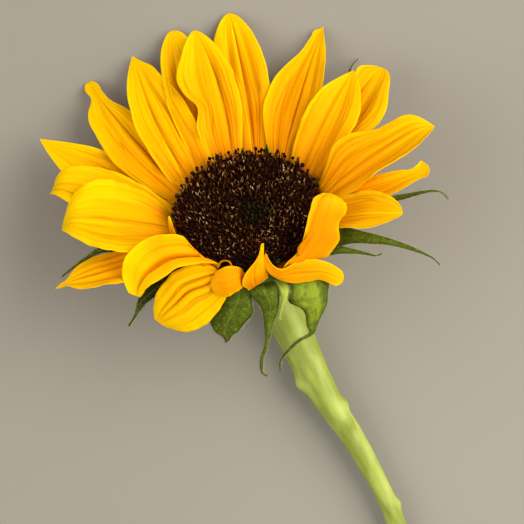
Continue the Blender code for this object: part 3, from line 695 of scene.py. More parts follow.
def spine(blade, rows):
    """Stations along a blade, closer together towards its tip.

    Each has its share of the length, its place, and the directions across and out of the face.
    """
    substeps = 4
    count = rows * substeps
    share = 1.0 - (1.0 - np.arange(count + 1) / count) ** 1.3
    step = np.diff(share, prepend=0.0) * blade.length
    lift = np.radians(through(*blade.lifts, share) + blade.hook * ease((share - 0.78) / 0.22))
    heading = np.radians(blade.azimuth + blade.skew + blade.turn * share)
    along = np.stack((np.cos(lift) * np.cos(heading), np.cos(lift) * np.sin(heading), np.sin(lift)), axis=1)
    side = np.stack((-np.sin(heading), np.cos(heading), np.zeros_like(share)), axis=1)
    root = (*(toward(math.radians(blade.azimuth)) * blade.root_radius), blade.root_height)
    place = root + np.cumsum(along * step[:, None], axis=0)
    return tuple(values[::substeps] for values in (share, place, side, np.cross(along, side)))


def off_the_disc(points):
    """Moves points that would be in the disc straight out to just past its rim."""
    nearest = DISC_RADIUS + DISC_CLEARANCE
    radius = np.hypot(points[..., 0], points[..., 1])
    inside = (radius < nearest) & (points[..., 2] > RECEPTACLE_TOP)
    moved = points.copy()
    moved[..., :2] *= np.where(inside, nearest / np.maximum(radius, 1e-6), 1.0)[..., None]
    return moved


def common_relief(blade, share, side, pleat, wave):
    """The relief that the part's own blades have, as a share of the half width."""
    cup = (blade.cups[0] + (blade.cups[1] - blade.cups[0]) * share) * ease(share / RELIEF_RISE)
    fold = pleat * np.cos(3 * math.pi * side) * np.sin(math.pi * np.minimum(share * 1.1, 1.0)) ** 0.5
    phase = 2 * math.pi * (1.3 * share + np.where(side > 0, 0.35, 0.0)) + blade.azimuth
    return cup * side * side + fold + wave * ease(share / RELIEF_RISE) * np.sin(phase) * np.abs(side) ** 3


def blade_points(blade, rows, columns, pleat, wave):
    share, place, across, normal = spine(blade, rows)
    share, side = np.meshgrid(share, np.linspace(-1, 1, columns + 1), indexing="ij")
    half = half_width(blade, share)
    out = half * common_relief(blade, share, side, pleat, wave)
    points = place[:, None] + across[:, None] * (half * side)[:, :, None] + normal[:, None] * out[:, :, None]
    return off_the_disc(points), share, side


def sheet_points(sheet, rows, columns, bend):
    place = np.linspace(0, len(sheet) - 1, rows + 1)
    line = spline(np.array(sheet, dtype=float), place)
    first, middle, last = (line[:, None, number] for number in range(3))
    side = np.linspace(-1, 1, columns + 1)
    bent = (np.abs(side) ** bend)[:, None]
    points = middle + side[:, None] * (last - first) / 2 + bent * ((first + last) / 2 - middle)
    share, side = np.meshgrid(place / place[-1], side, indexing="ij")
    return off_the_disc(points @ PHOTO_AXES.T @ HEAD_AXES), share, side


def surface(form, rows, columns, pleat, wave, bend):
    """The smooth shape of a blade or a sheet: a grid of points, with their shares and sides.

    The share counts from 0 at the root to 1 at the tip, and the side from -1 to 1 across. A blade has
    the part's pleat and wave, and a sheet bends across more sharply the smaller its bend is.
    """
    if isinstance(form, Blade):
        return blade_points(form, rows, columns, pleat, wave)
    return sheet_points(form, rows, columns, bend)


def raised(grid, height):
    """The grid with its points moved out of its surface by a share of its half width."""
    half = np.linalg.norm(grid[:, -1] - grid[:, 0], axis=1)[:, None, None] / 2
    return grid + grid_normals(grid) * height[:, :, None] * half


def widened(grid, factor):
    """The grid with its points moved from its middle line by a factor."""
    middle = grid[:, grid.shape[1] // 2, None]
    return middle + (grid - middle) * factor[:, :, None]


def blade_tag(share, side, number):
    """The values that a blade's material needs, for both faces of its skin."""
    values = np.stack((share.ravel(), side.ravel(), np.full(share.size, number)), axis=1)
    return np.tile(values, (2, 1))


def azimuth_of(form):
    return form.azimuth if isinstance(form, Blade) else None


def add_petal(heap, form, folds, smooth, orange, draw):
    """One petal: deep grooves, fine ribs between them, and edges that ripple and curl."""
    grid, share, side = surface(form, PETAL_ROWS, PETAL_COLUMNS, PETAL_PLEAT, PETAL_WAVE, PETAL_BEND)
    length = np.linalg.norm(np.diff(grid[:, PETAL_COLUMNS // 2], axis=0), axis=1).sum()
    scale = np.linalg.norm(grid[:, -1] - grid[:, 0], axis=1).max() / 2 / VEIN_WIDTH
    folds = folds or [
        (at + draw.uniform(-0.08, 0.08), depth * draw.uniform(0.6, 1.0), FOLD_WIDTH)
        for at, depth in USUAL_FOLDS
    ]
    curl = draw.uniform(*EDGE_CURL, 2) * (azimuth_of(form) not in PETAL_TONES)
    ribs_at = draw.random()
    drift = draw.uniform(-0.08, 0.08)
    broad_phases, edge_phases, width_phases = draw.random((3, 4))
    over = (side > 0) * 0.5

    width = 1 + WIDTH_RIPPLE * ripple(width_phases, share + over, 3.0) * ease(share / RELIEF_RISE)
    for edge, at, stretch, amount in SWELLS.get(azimuth_of(form), []):
        width += (side * edge > 0) * amount * np.exp(-(((share - at) / stretch) ** 2))
    grid = widened(grid, width)

    height = np.zeros_like(share)
    fade = np.sin(math.pi * np.clip(share * 0.94 + 0.06, 0, 1)) ** 0.6
    for at, depth, wide in folds:
        away = (side - at * (1 - 0.35 * share) - drift * share) / wide
        height -= fade * depth * (np.exp(-(away**2)) + 0.5 * np.exp(-((away * 3.3) ** 2)))
    ribs = np.cos(2 * math.pi * (RIBS * scale * side + ribs_at + 0.3 * share))
    height += RIB_HEIGHT * (1 - smooth) * ribs * fade
    # How deep a point lies in a groove, for the painted shade there
    groove = np.clip(-height / DEEP_GROOVE, 0, 1).ravel()
    height += BROAD_RIPPLE * ripple(broad_phases, share, 1.5) * ease(share / RELIEF_RISE)
    if isinstance(form, Blade):
        height += np.abs(side) ** 6 * ease((share - 0.15) / 0.4) * np.where(side > 0, *curl)
    height += EDGE_RIPPLE * np.abs(side) ** 5 * ease(share / 0.4) * ripple(edge_phases, share + over, 3.5)
    grid = raised(grid, height)
    # The root goes down into the bed
    grid[:, :, 2] -= ROOT_DEPTH * (1 - ease(share / 0.04))
    thickness = PETAL_THICKNESS * (1 - 0.75 * np.abs(side) ** 4) * (1 - 0.6 * share**6) + 0.05
    heap.add(
        *skin(off_the_disc(grid), thickness),
        blade=blade_tag(share, side, draw.random()),
        groove=np.tile(groove, 2),
        reach=(length / VEIN_LENGTH, scale, orange),
        smooth=smooth,
    )


def blade_tone(blade):
    """How smooth and how orange a petal is: more orange as painted shade on the flower's right, and more
    lemon as painted light on its left.
    """
    right = math.cos(math.radians(blade.azimuth))
    usual = (0.2, RIGHT_SHADE_ORANGE * right if right > 0 else -LEFT_LIGHT_ORANGE * right)
    return PETAL_TONES.get(blade.azimuth, usual)


def make_petals(name, forms, seed, material, tones=None, all_folds=None):
    draw = np.random.default_rng(seed)
    heap = Heap()
    tones = tones or [blade_tone(form) for form in forms]
    all_folds = all_folds or [PETAL_FOLDS.get(azimuth_of(form)) for form in forms]
    for form, folds, (smooth, orange) in zip(forms, all_folds, tones):
        add_petal(heap, form, folds, smooth, orange, draw)
    heap.piece(name, "petal_yellow", material, "ray_petals")


def make_bed(material):
    """The ring that the petals' roots stand in: the roots' orange darkened to brown as painted shade between
    them, and green on the side that shows.
    """
    bottom = RECEPTACLE_TOP + GAP
    profile = [
        (RING_INNER_RADIUS, BED_TOP),
        (RING_OUTER_RADIUS - 2.2, BED_TOP),
        (RING_OUTER_RADIUS - 1.4, BED_TOP - 0.4),
        (RING_OUTER_RADIUS - 1.0, bottom + 0.6),
        (RING_OUTER_RADIUS - 1.6, bottom),
        (RING_INNER_RADIUS, bottom),
    ]
    shape = ring_body(rounded(profile))
    radius = np.hypot(shape[0][:, 0], shape[0][:, 1])
    outer = ease((radius - RING_OUTER_RADIUS + 2.8) / 0.6)
    single(shape, "petal_bed", "petal_yellow", material, "ray_petals", outer=outer)


def hidden_bracts():
    """Bracts that the photo doesn't show, behind the far petals, placed by a rule with a seeded draw."""
    draw = random.Random(11)
    found = []
    for number in range(HIDDEN_BRACTS):
        azimuth = HIDDEN_FROM + (HIDDEN_TO - HIDDEN_FROM) * (number + 0.5) / HIDDEN_BRACTS
        azimuth += draw.uniform(-4, 4)
        lifts = (draw.uniform(14, 18), draw.uniform(7, 10), draw.uniform(0, 8))
        length = draw.uniform(36, 46)
        width = draw.uniform(10, 14)
        found.append(Blade(azimuth, length, width, lifts, turn=draw.uniform(-14, 14), **BRACT_FORM))
    return found


def bract_forms():
    """All bracts with their looks."""
    hidden = hidden_bracts()
    return zip(BRACTS + hidden + BRACT_SHEETS, BRACT_LOOKS + [HIDDEN_LOOK] * len(hidden) + SHEET_LOOKS)


def bract_surface(form, curl, rows, columns):
    """A bract's smooth shape with a slim tip that curls aside."""
    grid, share, side = surface(form, rows, columns, 0.0, BRACT_WAVE, BRACT_BEND)
    grid = widened(grid, 1 - BRACT_SLIMNESS * ease((share - 0.2) / 0.4))
    across = unit(grid[rows // 2, -1] - grid[rows // 2, 0])
    aside = curl * np.clip((share - 0.92) / 0.08, 0, 1) ** 2
    return grid + across * aside[:, :, None], share, side


def make_bracts(material):
    """Bracts with a groove along the middle, faint veins and wavy edges."""
    draw = np.random.default_rng(5)
    heap = Heap()
    for form, (root_tone_and_light, tip_tone_and_light, curl) in bract_forms():
        grid, share, side = bract_surface(form, curl, BRACT_ROWS, BRACT_COLUMNS)
        pale = root_tone_and_light + (tip_tone_and_light - root_tone_and_light) * ease((share - 0.4) / 0.25)
        turn = draw.random()
        height = -0.10 * np.exp(-((side / 0.10) ** 2)) * (1 - share)
        height += 0.02 * np.cos(2 * math.pi * (2.5 * np.abs(side) - 4 * share + turn)) * (1 - share)
        height += 0.08 * np.abs(side) ** 3 * np.sin(2 * math.pi * (3.4 * share + turn + 0.4 * (side > 0)))
        thickness = BRACT_THICKNESS * (1 - 0.6 * np.abs(side) ** 4) + 0.1 * np.exp(-((side / 0.15) ** 2))
        tag = blade_tag(share, side, draw.random())
        heap.add(*skin(raised(grid, height), thickness), blade=tag, pale=np.tile(pale.ravel(), 2))
    heap.piece("bracts_fine", "bract_green", material, "bracts")


def make_bract_hairs(material):
    """Short hairs on the bracts' faces, and longer ones along their edges."""
    draw = np.random.default_rng(6)
    heap = Heap()
    for form, (_, _, curl) in bract_forms():
        grid = bract_surface(form, curl, HAIR_ROWS, HAIR_COLUMNS)[0]
        across = unit(grid[:, -1] - grid[:, 0])
        along = unit(np.gradient(grid[:, HAIR_COLUMNS // 2], axis=0))
        rows = draw.integers(2, 80, FACE_HAIRS)
        normal = np.cross(along[rows], across[rows])
        normal *= np.sign(normal[:, 2:]) + 0.01
        ways = normal + draw.normal(0, 0.45, (FACE_HAIRS, 3))
        roots = grid[rows, draw.integers(0, HAIR_COLUMNS + 1, FACE_HAIRS)]
        heap.add(*spikes(roots, ways, draw.uniform(0.4, 0.9, FACE_HAIRS), FACE_HAIR_RADIUS))
        for column, sign in ((0, -1.0), (0, -1.0), (-1, 1.0), (-1, 1.0)):
            rows = EDGE_ROWS + draw.uniform(-0.5, 0.5, len(EDGE_ROWS))
            low = np.floor(rows).astype(int)
            part = (rows - low)[:, None]
            roots = grid[low, column] * (1 - part) + grid[low + 1, column] * part
            forward = draw.uniform(0.2, 0.9, (len(rows), 1))
            ways = across[low] * sign + along[low] * forward + draw.normal(0, 0.25, (len(rows), 3))
            lengths = draw.uniform(0.5, 1.3, len(rows))
            heap.add(*spikes(roots - across[low] * sign * 0.1, ways, lengths, EDGE_HAIR_RADIUS))
    heap.piece("bract_hairs", "bract_green", material, "bracts")


def make_cup(material):
    """The green underside of the head, round the receptacle."""
    inner = [(radius + CUP_GAP, height) for height, radius in RECEPTACLE[:-1]]
    inner[0] = (inner[0][0], RECEPTACLE_TOP - GAP)
    outer = [(radius + CUP_THICKNESS, height - 0.3) for radius, height in inner]
    outer[0] = (inner[0][0] + CUP_THICKNESS + 0.2, inner[0][1])
    single(ring_body(rounded(outer + inner[::-1])), "cup", "bract_green", material, "bracts")


# Disc


def disc_height(radius):
    """The disc's surface under its florets: a low rounded rim round a slightly sunken middle."""
    rim = 1.6 * np.exp(-(((radius - 19.0) / 6.0) ** 2))
    return rim - 0.9 * np.exp(-((radius / 8.0) ** 2)) - 0.6


def make_disc_bed(material):
    """The dark plug that the florets stand on."""
    plug = RING_INNER_RADIUS - GAP
    radii = np.linspace(0.4, DISC_RADIUS - 0.6, 24)
    profile = [*zip(radii, disc_height(radii) - 0.4)]
    profile += [(DISC_RADIUS - 0.2, -1.4), (DISC_RADIUS - 0.4, FLANGE_BOTTOM), (plug + 0.2, BED_TOP + 0.3)]
    profile += [(plug, BED_TOP), (plug, RECEPTACLE_TOP + GAP)]
    single(turned(profile, RING_SIDES), "disc_bed", "disc_brown", material, "disc_florets")


def strand(route, radii):
    """A closed thin three-sided tube along a route."""
    route = np.array(route, dtype=float)
    along = unit(np.gradient(route, axis=0))
    side = unit(np.cross(along, (0.3, 1.0, 0.1)))
    points = route[:, None] + around(side, np.cross(along, side), 3) * np.array(radii)[:, None, None]
    return points.reshape(-1, 3), tube_faces(len(route), 3)


def together(first, second):
    """Two shapes as one."""
    return np.concatenate((first[0], second[0])), first[1] + shifted(second[1], len(first[0]))


def standing(points, spot, lean, turn, size, stretch):
    """A shape's points turned about +Z, leaned over, sized and set on a spot."""
    cosine, sine = math.cos(turn), math.sin(turn)
    spun = points @ np.array(((cosine, sine, 0), (-sine, cosine, 0), (0, 0, 1)))
    up = unit(np.array((*lean, 1.0)))
    first = unit(np.cross((0.0, 1.0, 0.0), up))
    return spun * (size, size, size * stretch) @ np.stack((first, np.cross(up, first), up)) + spot


def bud_shape():
    """An unopened floret: a small pointed bud."""
    return turned([(0.05, 1.15), (0.22, 0.95), (0.42, 0.6), (0.46, 0.2), (0.35, -0.5)], 6)


def tube_shape():
    """An open floret: a narrow tube with five lobes that fold outwards."""
    points, faces = turned([(0.22, 0.9), (0.52, 1.15), (0.40, 0.92), (0.27, 0.5), (0.24, -0.6)], 10)
    star = np.array((1.25, 0.6) * 5)
    lobes = points[10:20]
    lobes[:, :2] *= star[:, None]
    lobes[:, 2] -= np.where(star > 1, 0.25, 0.0)
    return points, faces


def closed_shape():
    """A floret's dark column of anthers, before its style is out."""
    return together(tube_shape(), turned([(0.03, 2.2), (0.15, 1.9), (0.18, 1.4), (0.13, 0.6)], 5))


def forked_shape():
    """A floret's style: a thin column that splits in two curled branches."""
    width = (0.10, 0.13, 0.15, 0.13, 0.05)
    right = strand([(0.0, 0, 0.6), (0.03, 0, 1.6), (0.12, 0, 2.2), (0.27, 0, 2.6), (0.42, 0, 2.6)], width)
    left = strand([(0.0, 0, 0.6), (-0.03, 0, 1.5), (-0.12, 0, 2.0), (-0.25, 0, 2.3), (-0.38, 0, 2.3)], width)
    return together(right, left)


def knob_shape():
    """An old floret: a thin stalk with a round knob."""
    angles = [math.pi * step / 6.5 for step in range(1, 6)]
    ball = [(0.5 * math.sin(angle), 0.5 + 0.5 * math.cos(angle)) for angle in angles]
    return turned([(0.06, 1.0), *ball, (0.15, -0.1), (0.13, -1.2), (0.2, -3.2)], 8)


def make_florets(material, knob_material):
    """Florets in spirals: buds in the middle, open ones round them, and old knobs at the rim."""
    draw = np.random.default_rng(3)
    heaps = {name: Heap() for name in ("buds", "open", "styles", "knobs")}
    bud, tube, closed, forked, knob = bud_shape(), tube_shape(), closed_shape(), forked_shape(), knob_shape()

    def add(name, shape, spot, lean, place, size, stretch=1.0):
        points, faces = shape
        stood = standing(points, spot, lean, draw.uniform(0, 2 * math.pi), size, stretch)
        values = (points[:, 2], np.full(len(points), place), np.full(len(points), draw.random()))
        heaps[name].add(stood, faces, floret=np.stack(values, axis=1))

    for number in range(FLORETS):
        share = math.sqrt((number + 0.5) / FLORETS)
        radius = share * (DISC_RADIUS - 0.3)
        out = toward(number * GOLDEN_TURN)
        flat = out * radius + draw.normal(0, FLORET_JITTER, 2)
        spot = np.array((*flat, disc_height(radius) + draw.normal(0, FLORET_JITTER)))
        lean = out * 0.25 * share + draw.normal(0, FLORET_JITTER, 2)
        place = np.hypot(*(flat - BUDS_AT)) / DISC_RADIUS
        kind = draw.random()
        if place < BUD_SHARE:
            add("buds", bud, spot, lean, place, draw.uniform(0.9, 1.2), draw.uniform(1.0, 1.6))
        elif share > OPEN_SHARE and kind < KNOB_SHARE:
            lean = out * draw.uniform(0.1, 0.9) + draw.normal(0, 0.2, 2)
            spot[2] += draw.uniform(0.4, 2.4)
            add("knobs", knob, spot, lean, place, draw.uniform(0.95, 1.35))
        elif kind < 0.5:
            add("open", closed, spot, lean, place, draw.uniform(0.9, 1.25), draw.uniform(0.8, 1.15))
        else:
            add("open", tube, spot, lean, place, draw.uniform(0.9, 1.3), draw.uniform(0.7, 1.1))
            lean = lean + draw.normal(0, 0.15, 2)
            add("styles", forked, spot, lean, place, draw.uniform(1.0, 1.4), draw.uniform(0.8, 1.1))
    for number in range(STRAY_KNOBS):
        out = toward(2 * math.pi * (number + draw.uniform(0, 0.8)) / STRAY_KNOBS)
        spot = (*(out * (DISC_RADIUS - 0.6)), draw.uniform(0.8, 2.2))
        lean = out * draw.uniform(0.5, 1.3) + draw.normal(0, 0.2, 2)
        add("knobs", knob, spot, lean, 1.0, draw.uniform(1.15, 1.45))
    for name, heap in heaps.items():
        look = knob_material if name == "knobs" else material
        heap.piece(f"florets_{name}", "disc_brown", look, "disc_florets")


def make_chaff(material):
    """Thin bristles between the florets, many with pale tips."""
    draw = np.random.default_rng(8)
    radius = (DISC_RADIUS - 1) * np.sqrt(draw.uniform(0.03, 1, BRISTLES))
    angle = draw.uniform(0, 2 * math.pi, BRISTLES)
    roots = np.stack((radius * np.cos(angle), radius * np.sin(angle), disc_height(radius) + 0.3), axis=1)
    lean = draw.normal(0, 0.28, (BRISTLES, 3))
    lean[:, 2] = 1.0
    shape = spikes(roots, lean, draw.uniform(1.2, 2.6, BRISTLES), draw.uniform(0.12, 0.20, BRISTLES))
    tall = np.tile((1.4, 1.4, 1.4, 2.2), BRISTLES)
    tint = np.repeat(draw.random(BRISTLES), 4)
    floret = np.stack((tall, np.repeat(radius / DISC_RADIUS, 4), tint), axis=1)
    single(shape, "chaff", "disc_brown", material, "disc_florets", floret=floret)


def make_rim_scales(material):
    """Pointed dark green scales that stand between the outer florets and the petals."""
    draw = np.random.default_rng(12)
    heap = Heap()
    share, side = np.meshgrid(np.linspace(0, 1, 13), np.linspace(-1, 1, 7), indexing="ij")
    for azimuth, height, width in RIM_SCALES:
        out = np.array((*toward(math.radians(azimuth)), 0.0))
        across = np.array((-out[1], out[0], 0.0))
        away = DISC_RADIUS - 0.3 + 0.9 * share**2 - 0.4 * side**2
        half = width / 2 * (1 - share**1.6) + 0.05
        grid = out * away[:, :, None] + across * (half * side)[:, :, None]
        grid[:, :, 2] += height * share - 1.4
        thickness = np.full_like(share, SCALE_THICKNESS)
        heap.add(*skin(grid, thickness), blade=blade_tag(share, side, draw.random()))
    heap.piece("rim_scales", "disc_brown", material, "disc_florets")


# Stem


def stem_surface():
    """The stem in the world: its rings of points, their ways out, how far along each is, and its middle."""
    flare = [(*(HEAD_PLACE + HEAD_AXES[:, 2] * height), radius) for height, radius in RECEPTACLE]
    knots = np.array(flare + [(*(HEAD_PLACE + place), radius) for place, radius in STEM_ROUTE])
    spans = np.linalg.norm(np.diff(knots[:, :3], axis=0), axis=1)
    steps = [max(1, round(span / STEM_SPACING)) for span in spans]
    stations = [index + step / count for index, count in enumerate(steps) for step in range(count)]
    route = spline(knots, np.array([*stations, len(steps)]))
    places, radii = route[:, :3], route[:, 3]
    along = unit(np.gradient(places, axis=0))
    side = unit(np.cross(along, (0.0, 0.0, 1.0)))
    out = around(side, np.cross(side, along), STEM_SIDES)
    distance = np.concatenate(([0.0], np.cumsum(np.linalg.norm(np.diff(places, axis=0), axis=1))))
    angles = np.arange(STEM_SIDES) * 2 * math.pi / STEM_SIDES
    ridges = sum(high * np.cos(number * angles + start) for number, high, start in STEM_RIDGES)
    size = radii[:, None] * (1 + ridges * np.minimum(distance / 30.0, 1.0)[:, None])
    for at, turn, nub in NUBS:
        middle = int(np.argmin(np.abs(HEAD_PLACE[1] - at - places[:, 1])))
        turn = math.radians(turn)
        spot = places[middle] + np.array((math.cos(turn), 0.0, abs(math.sin(turn)))) * radii[middle]
        gap = (places[:, None] + out * size[:, :, None] - spot) * (1.0, 0.6, 1.0)
        size = size + 0.6 * nub * np.exp(-(np.linalg.norm(gap, axis=2) / (0.65 * nub)) ** 2)
    return places[:, None] + out * size[:, :, None], out, distance, places


def make_stem(material):
    """The stem's skin, closed at both ends by a fan round its middle."""
    rings, _, distance, places = stem_surface()
    count = len(rings) * STEM_SIDES
    last = count - STEM_SIDES
    points = np.concatenate((rings.reshape(-1, 3), places[[0, -1]]))
    faces = grid_faces(len(rings), STEM_SIDES, closed_columns=True)
    for column in range(STEM_SIDES):
        beside = (column + 1) % STEM_SIDES
        faces += [(count, column, beside), (count + 1, last + beside, last + column)]
    along = np.concatenate((np.repeat(distance, STEM_SIDES), distance[[0, -1]]))
    cut = np.concatenate((np.zeros(count), (0.0, 1.0)))
    piece("stem_fine", points * MM, faces, "stem_green", material, "stem", along=along, cut=cut)


def make_stem_hairs(material):
    draw = np.random.default_rng(9)
    rings, out, _, _ = stem_surface()
    rows = draw.integers(HAIRLESS_RINGS, len(rings) - 2, STEM_HAIRS)
    columns = draw.integers(0, STEM_SIDES, STEM_HAIRS)
    roots = rings[rows, columns] - out[rows, columns] * 0.1
    ways = out[rows, columns] + draw.normal(0, 0.35, (STEM_HAIRS, 3))
    # Those near the surface that the flower lies on are short
    lengths = np.where(roots[:, 2] < 1.2, 0.25, draw.uniform(0.4, 1.1, STEM_HAIRS))
    points, faces = spikes(roots, ways, lengths, STEM_HAIR_RADIUS)
    piece("stem_hairs", points * MM, faces, "stem_green", material, "stem")


# Materials


class Look:
    """A material under construction, whose colour is laid on in layers."""

    def __init__(self, name):
        self.material = bpy.data.materials.new(name)
        self.material.use_nodes = True
        self.tree = self.material.node_tree
        self.shader = self.tree.nodes["Principled BSDF"]
        self.colour = None

    def put(self, socket, value):
        """Links a socket to another, or sets its value."""
        if isinstance(value, bpy.types.NodeSocket):
            self.tree.links.new(value, socket)
        else:
            socket.default_value = (*value, 1.0) if socket.type == "RGBA" else value

    def node(self, kind, inputs, **settings):
        made = self.tree.nodes.new(kind)
        for name, value in settings.items():
            setattr(made, name, value)
        for name, value in inputs.items():
            self.put(made.inputs[name], value)
        return made

    def math(self, operation, first, second=0.0):
        return self.node("ShaderNodeMath", {0: first, 1: second}, operation=operation).outputs[0]

    def times(self, first, second):
        return self.math("MULTIPLY", first, second)

    def plus(self, first, second):
        return self.math("ADD", first, second)

    def edge(self, side, power):
        """A value that rises to 1 at both edges of a blade."""
        return self.math("POWER", self.math("ABSOLUTE", side), power)

    def spread(self, value, low, high, new_low=0.0, new_high=1.0):
        """The value mapped from one range to another, and held to it."""
        inputs = {0: value, 1: low, 2: high, 3: new_low, 4: new_high}
        return self.node("ShaderNodeMapRange", inputs).outputs[0]

    def tag(self, name):
        return self.node("ShaderNodeAttribute", {}, attribute_name=name).outputs["Fac"]

    def tags(self, name):
        vector = self.node("ShaderNodeAttribute", {}, attribute_name=name).outputs["Vector"]
        return self.node("ShaderNodeSeparateXYZ", {0: vector}).outputs[:3]

    def noise(self, vector, scale, detail, roughness=0.5):
        inputs = {"Vector": vector, "Scale": scale, "Detail": detail, "Roughness": roughness}
        return self.node("ShaderNodeTexNoise", inputs).outputs["Fac"]

    def grain(self, scale, detail, stretch=(1.0, 1.0, 1.0)):
        """Noise through the object, with about so many grains in a metre."""
        place = self.node("ShaderNodeTexCoord", {}).outputs["Object"]
        place = self.node("ShaderNodeMapping", {"Vector": place, "Scale": stretch}).outputs[0]
        return self.noise(place, scale, detail)

    def streaks(self, along, across, number, detail=2.0, roughness=0.5):
        """Noise over a blade, with a number that makes each blade's own."""
        spot = self.node("ShaderNodeCombineXYZ", {0: along, 1: across, 2: number}).outputs[0]
        return self.noise(spot, 1.0, detail, roughness)

    def ramp(self, factor, stops):
        made = self.node("ShaderNodeValToRGB", {0: factor})
        elements = made.color_ramp.elements
        while len(elements) < len(stops):
            elements.new(1.0)
        for element, (place, colour) in zip(elements, stops):
            element.position = place
            element.color = (*colour, 1.0)
        return made.outputs["Color"]

    def mix(self, factor, first, second):
        return self.node("ShaderNodeMix", {0: factor, 6: first, 7: second}, data_type="RGBA").outputs[2]

    def over(self, factor, colour):
        """Lays a colour over the present one."""
        self.colour = self.mix(factor, self.colour, colour)

    def clouds(self, noise, low, first, second):
        """Starts the colour with clouds of two colours."""
        self.colour = self.mix(self.spread(noise, low, 1 - low), first, second)

    def let_through(self, share, colour=None):
        """Light that comes through a thin piece from behind."""
        behind = self.node("ShaderNodeBsdfTranslucent", {0: colour or self.colour}).outputs[0]
        mixed = self.node("ShaderNodeMixShader", {0: share, 1: self.shader.outputs[0], 2: behind})
        self.put(self.tree.nodes["Material Output"].inputs[0], mixed.outputs[0])

    def finish(self, roughness, specular=0.05, bump=None):
        """Sets the rest, with the bump as its height, strength and distance."""
        inputs = {"Base Color": self.colour, "Roughness": roughness, "Specular IOR Level": specular}
        if bump:
            heights = dict(zip(("Height", "Strength", "Distance"), bump))
            inputs["Normal"] = self.node("ShaderNodeBump", heights).outputs[0]
        for name, value in inputs.items():
            self.put(self.shader.inputs[name], value)
        return self.material


def petal_look():
    """Yellow, orange towards the root, with fine veins, painted shade in grooves and along sharp lengthwise
    creases, and a tone by the petal that is partly its own: more orange as painted shade, and more lemon on
    some as painted light.
    """
    look = Look("petal yellow")
    share, side, number = look.tags("blade")
    long, wide, orange = look.tags("reach")
    lively = look.spread(look.tag("smooth"), 0.0, 1.0, 1.0, 0.2)
    length = look.times(share, long)
    width = look.times(side, wide)
    shift = look.times(number, 37.0)

    def stretched(along, across, detail=2.0):
        return look.streaks(look.times(length, along), look.times(width, across), shift, detail)

    veins = stretched(1.4, 8.0, 4.0)
    fine = stretched(4.0, 42.0)
    folds = stretched(0.7, 3.6, 1.0)
    blotch = stretched(2.6, 1.3)
    # Thin lines of painted shade along lengthwise creases, which the bump also sinks
    crease_shade = look.spread(look.math("ABSOLUTE", look.math("SUBTRACT", folds, 0.5)), 0.0, 0.035, 1.0, 0.0)
    crease_shade = look.times(look.times(crease_shade, look.spread(share, 0.55, 1.0, 1.0, 0.2)), lively)
    along = look.plus(share, look.spread(blotch, 0.3, 0.7, -0.10, 0.10))
    look.colour = look.ramp(along, PETAL_STOPS)
    # The petal's tone, partly its own and partly painted shade, turns it more orange
    look.over(look.times(orange, look.spread(along, 0.2, 1.0, 1.0, 0.25)), (0.88, 0.30, 0.0))
    # Painted light: a tone below 0 turns the petal more lemon
    lemon = look.times(look.spread(orange, 0.0, -1.0), look.spread(along, 0.1, 0.5, 0.3, 1.0))
    look.over(lemon, (1.0, 0.71, 0.0))
    # Past 1 the orange turns brown, which it does on the curled lips
    look.over(look.spread(orange, 1.0, 2.0), (0.40, 0.06, 0.0))
    # Painted shade in the grooves, deepest towards the root
    look.over(look.times(look.tag("groove"), look.spread(share, 0.3, 1.0, 0.6, 0.2)), (0.86, 0.27, 0.0))
    look.over(look.spread(number, 0.0, 1.0, 0.0, 0.3), (0.97, 0.42, 0.0))
    look.over(look.times(look.spread(veins, 0.38, 0.58, 0.35, 0.0), lively), (0.78, 0.27, 0.0))
    look.over(look.times(look.spread(fine, 0.5, 0.75, 0.0, 0.3), lively), (1.0, 0.66, 0.0))
    # The painted shade of the creases
    look.over(look.times(crease_shade, 0.6), (0.50, 0.12, 0.0))
    look.over(look.times(look.edge(side, 9.0), 0.6), (1.0, 0.72, 0.0))
    look.let_through(0.25)
    height = look.times(look.plus(look.times(veins, 0.8), look.times(fine, 0.35)), lively)
    height = look.math("SUBTRACT", height, look.times(crease_shade, 0.5))
    return look.finish(look.spread(fine, 0.2, 0.8, 0.45, 0.65), 0.03, (height, 0.7, 0.0005))


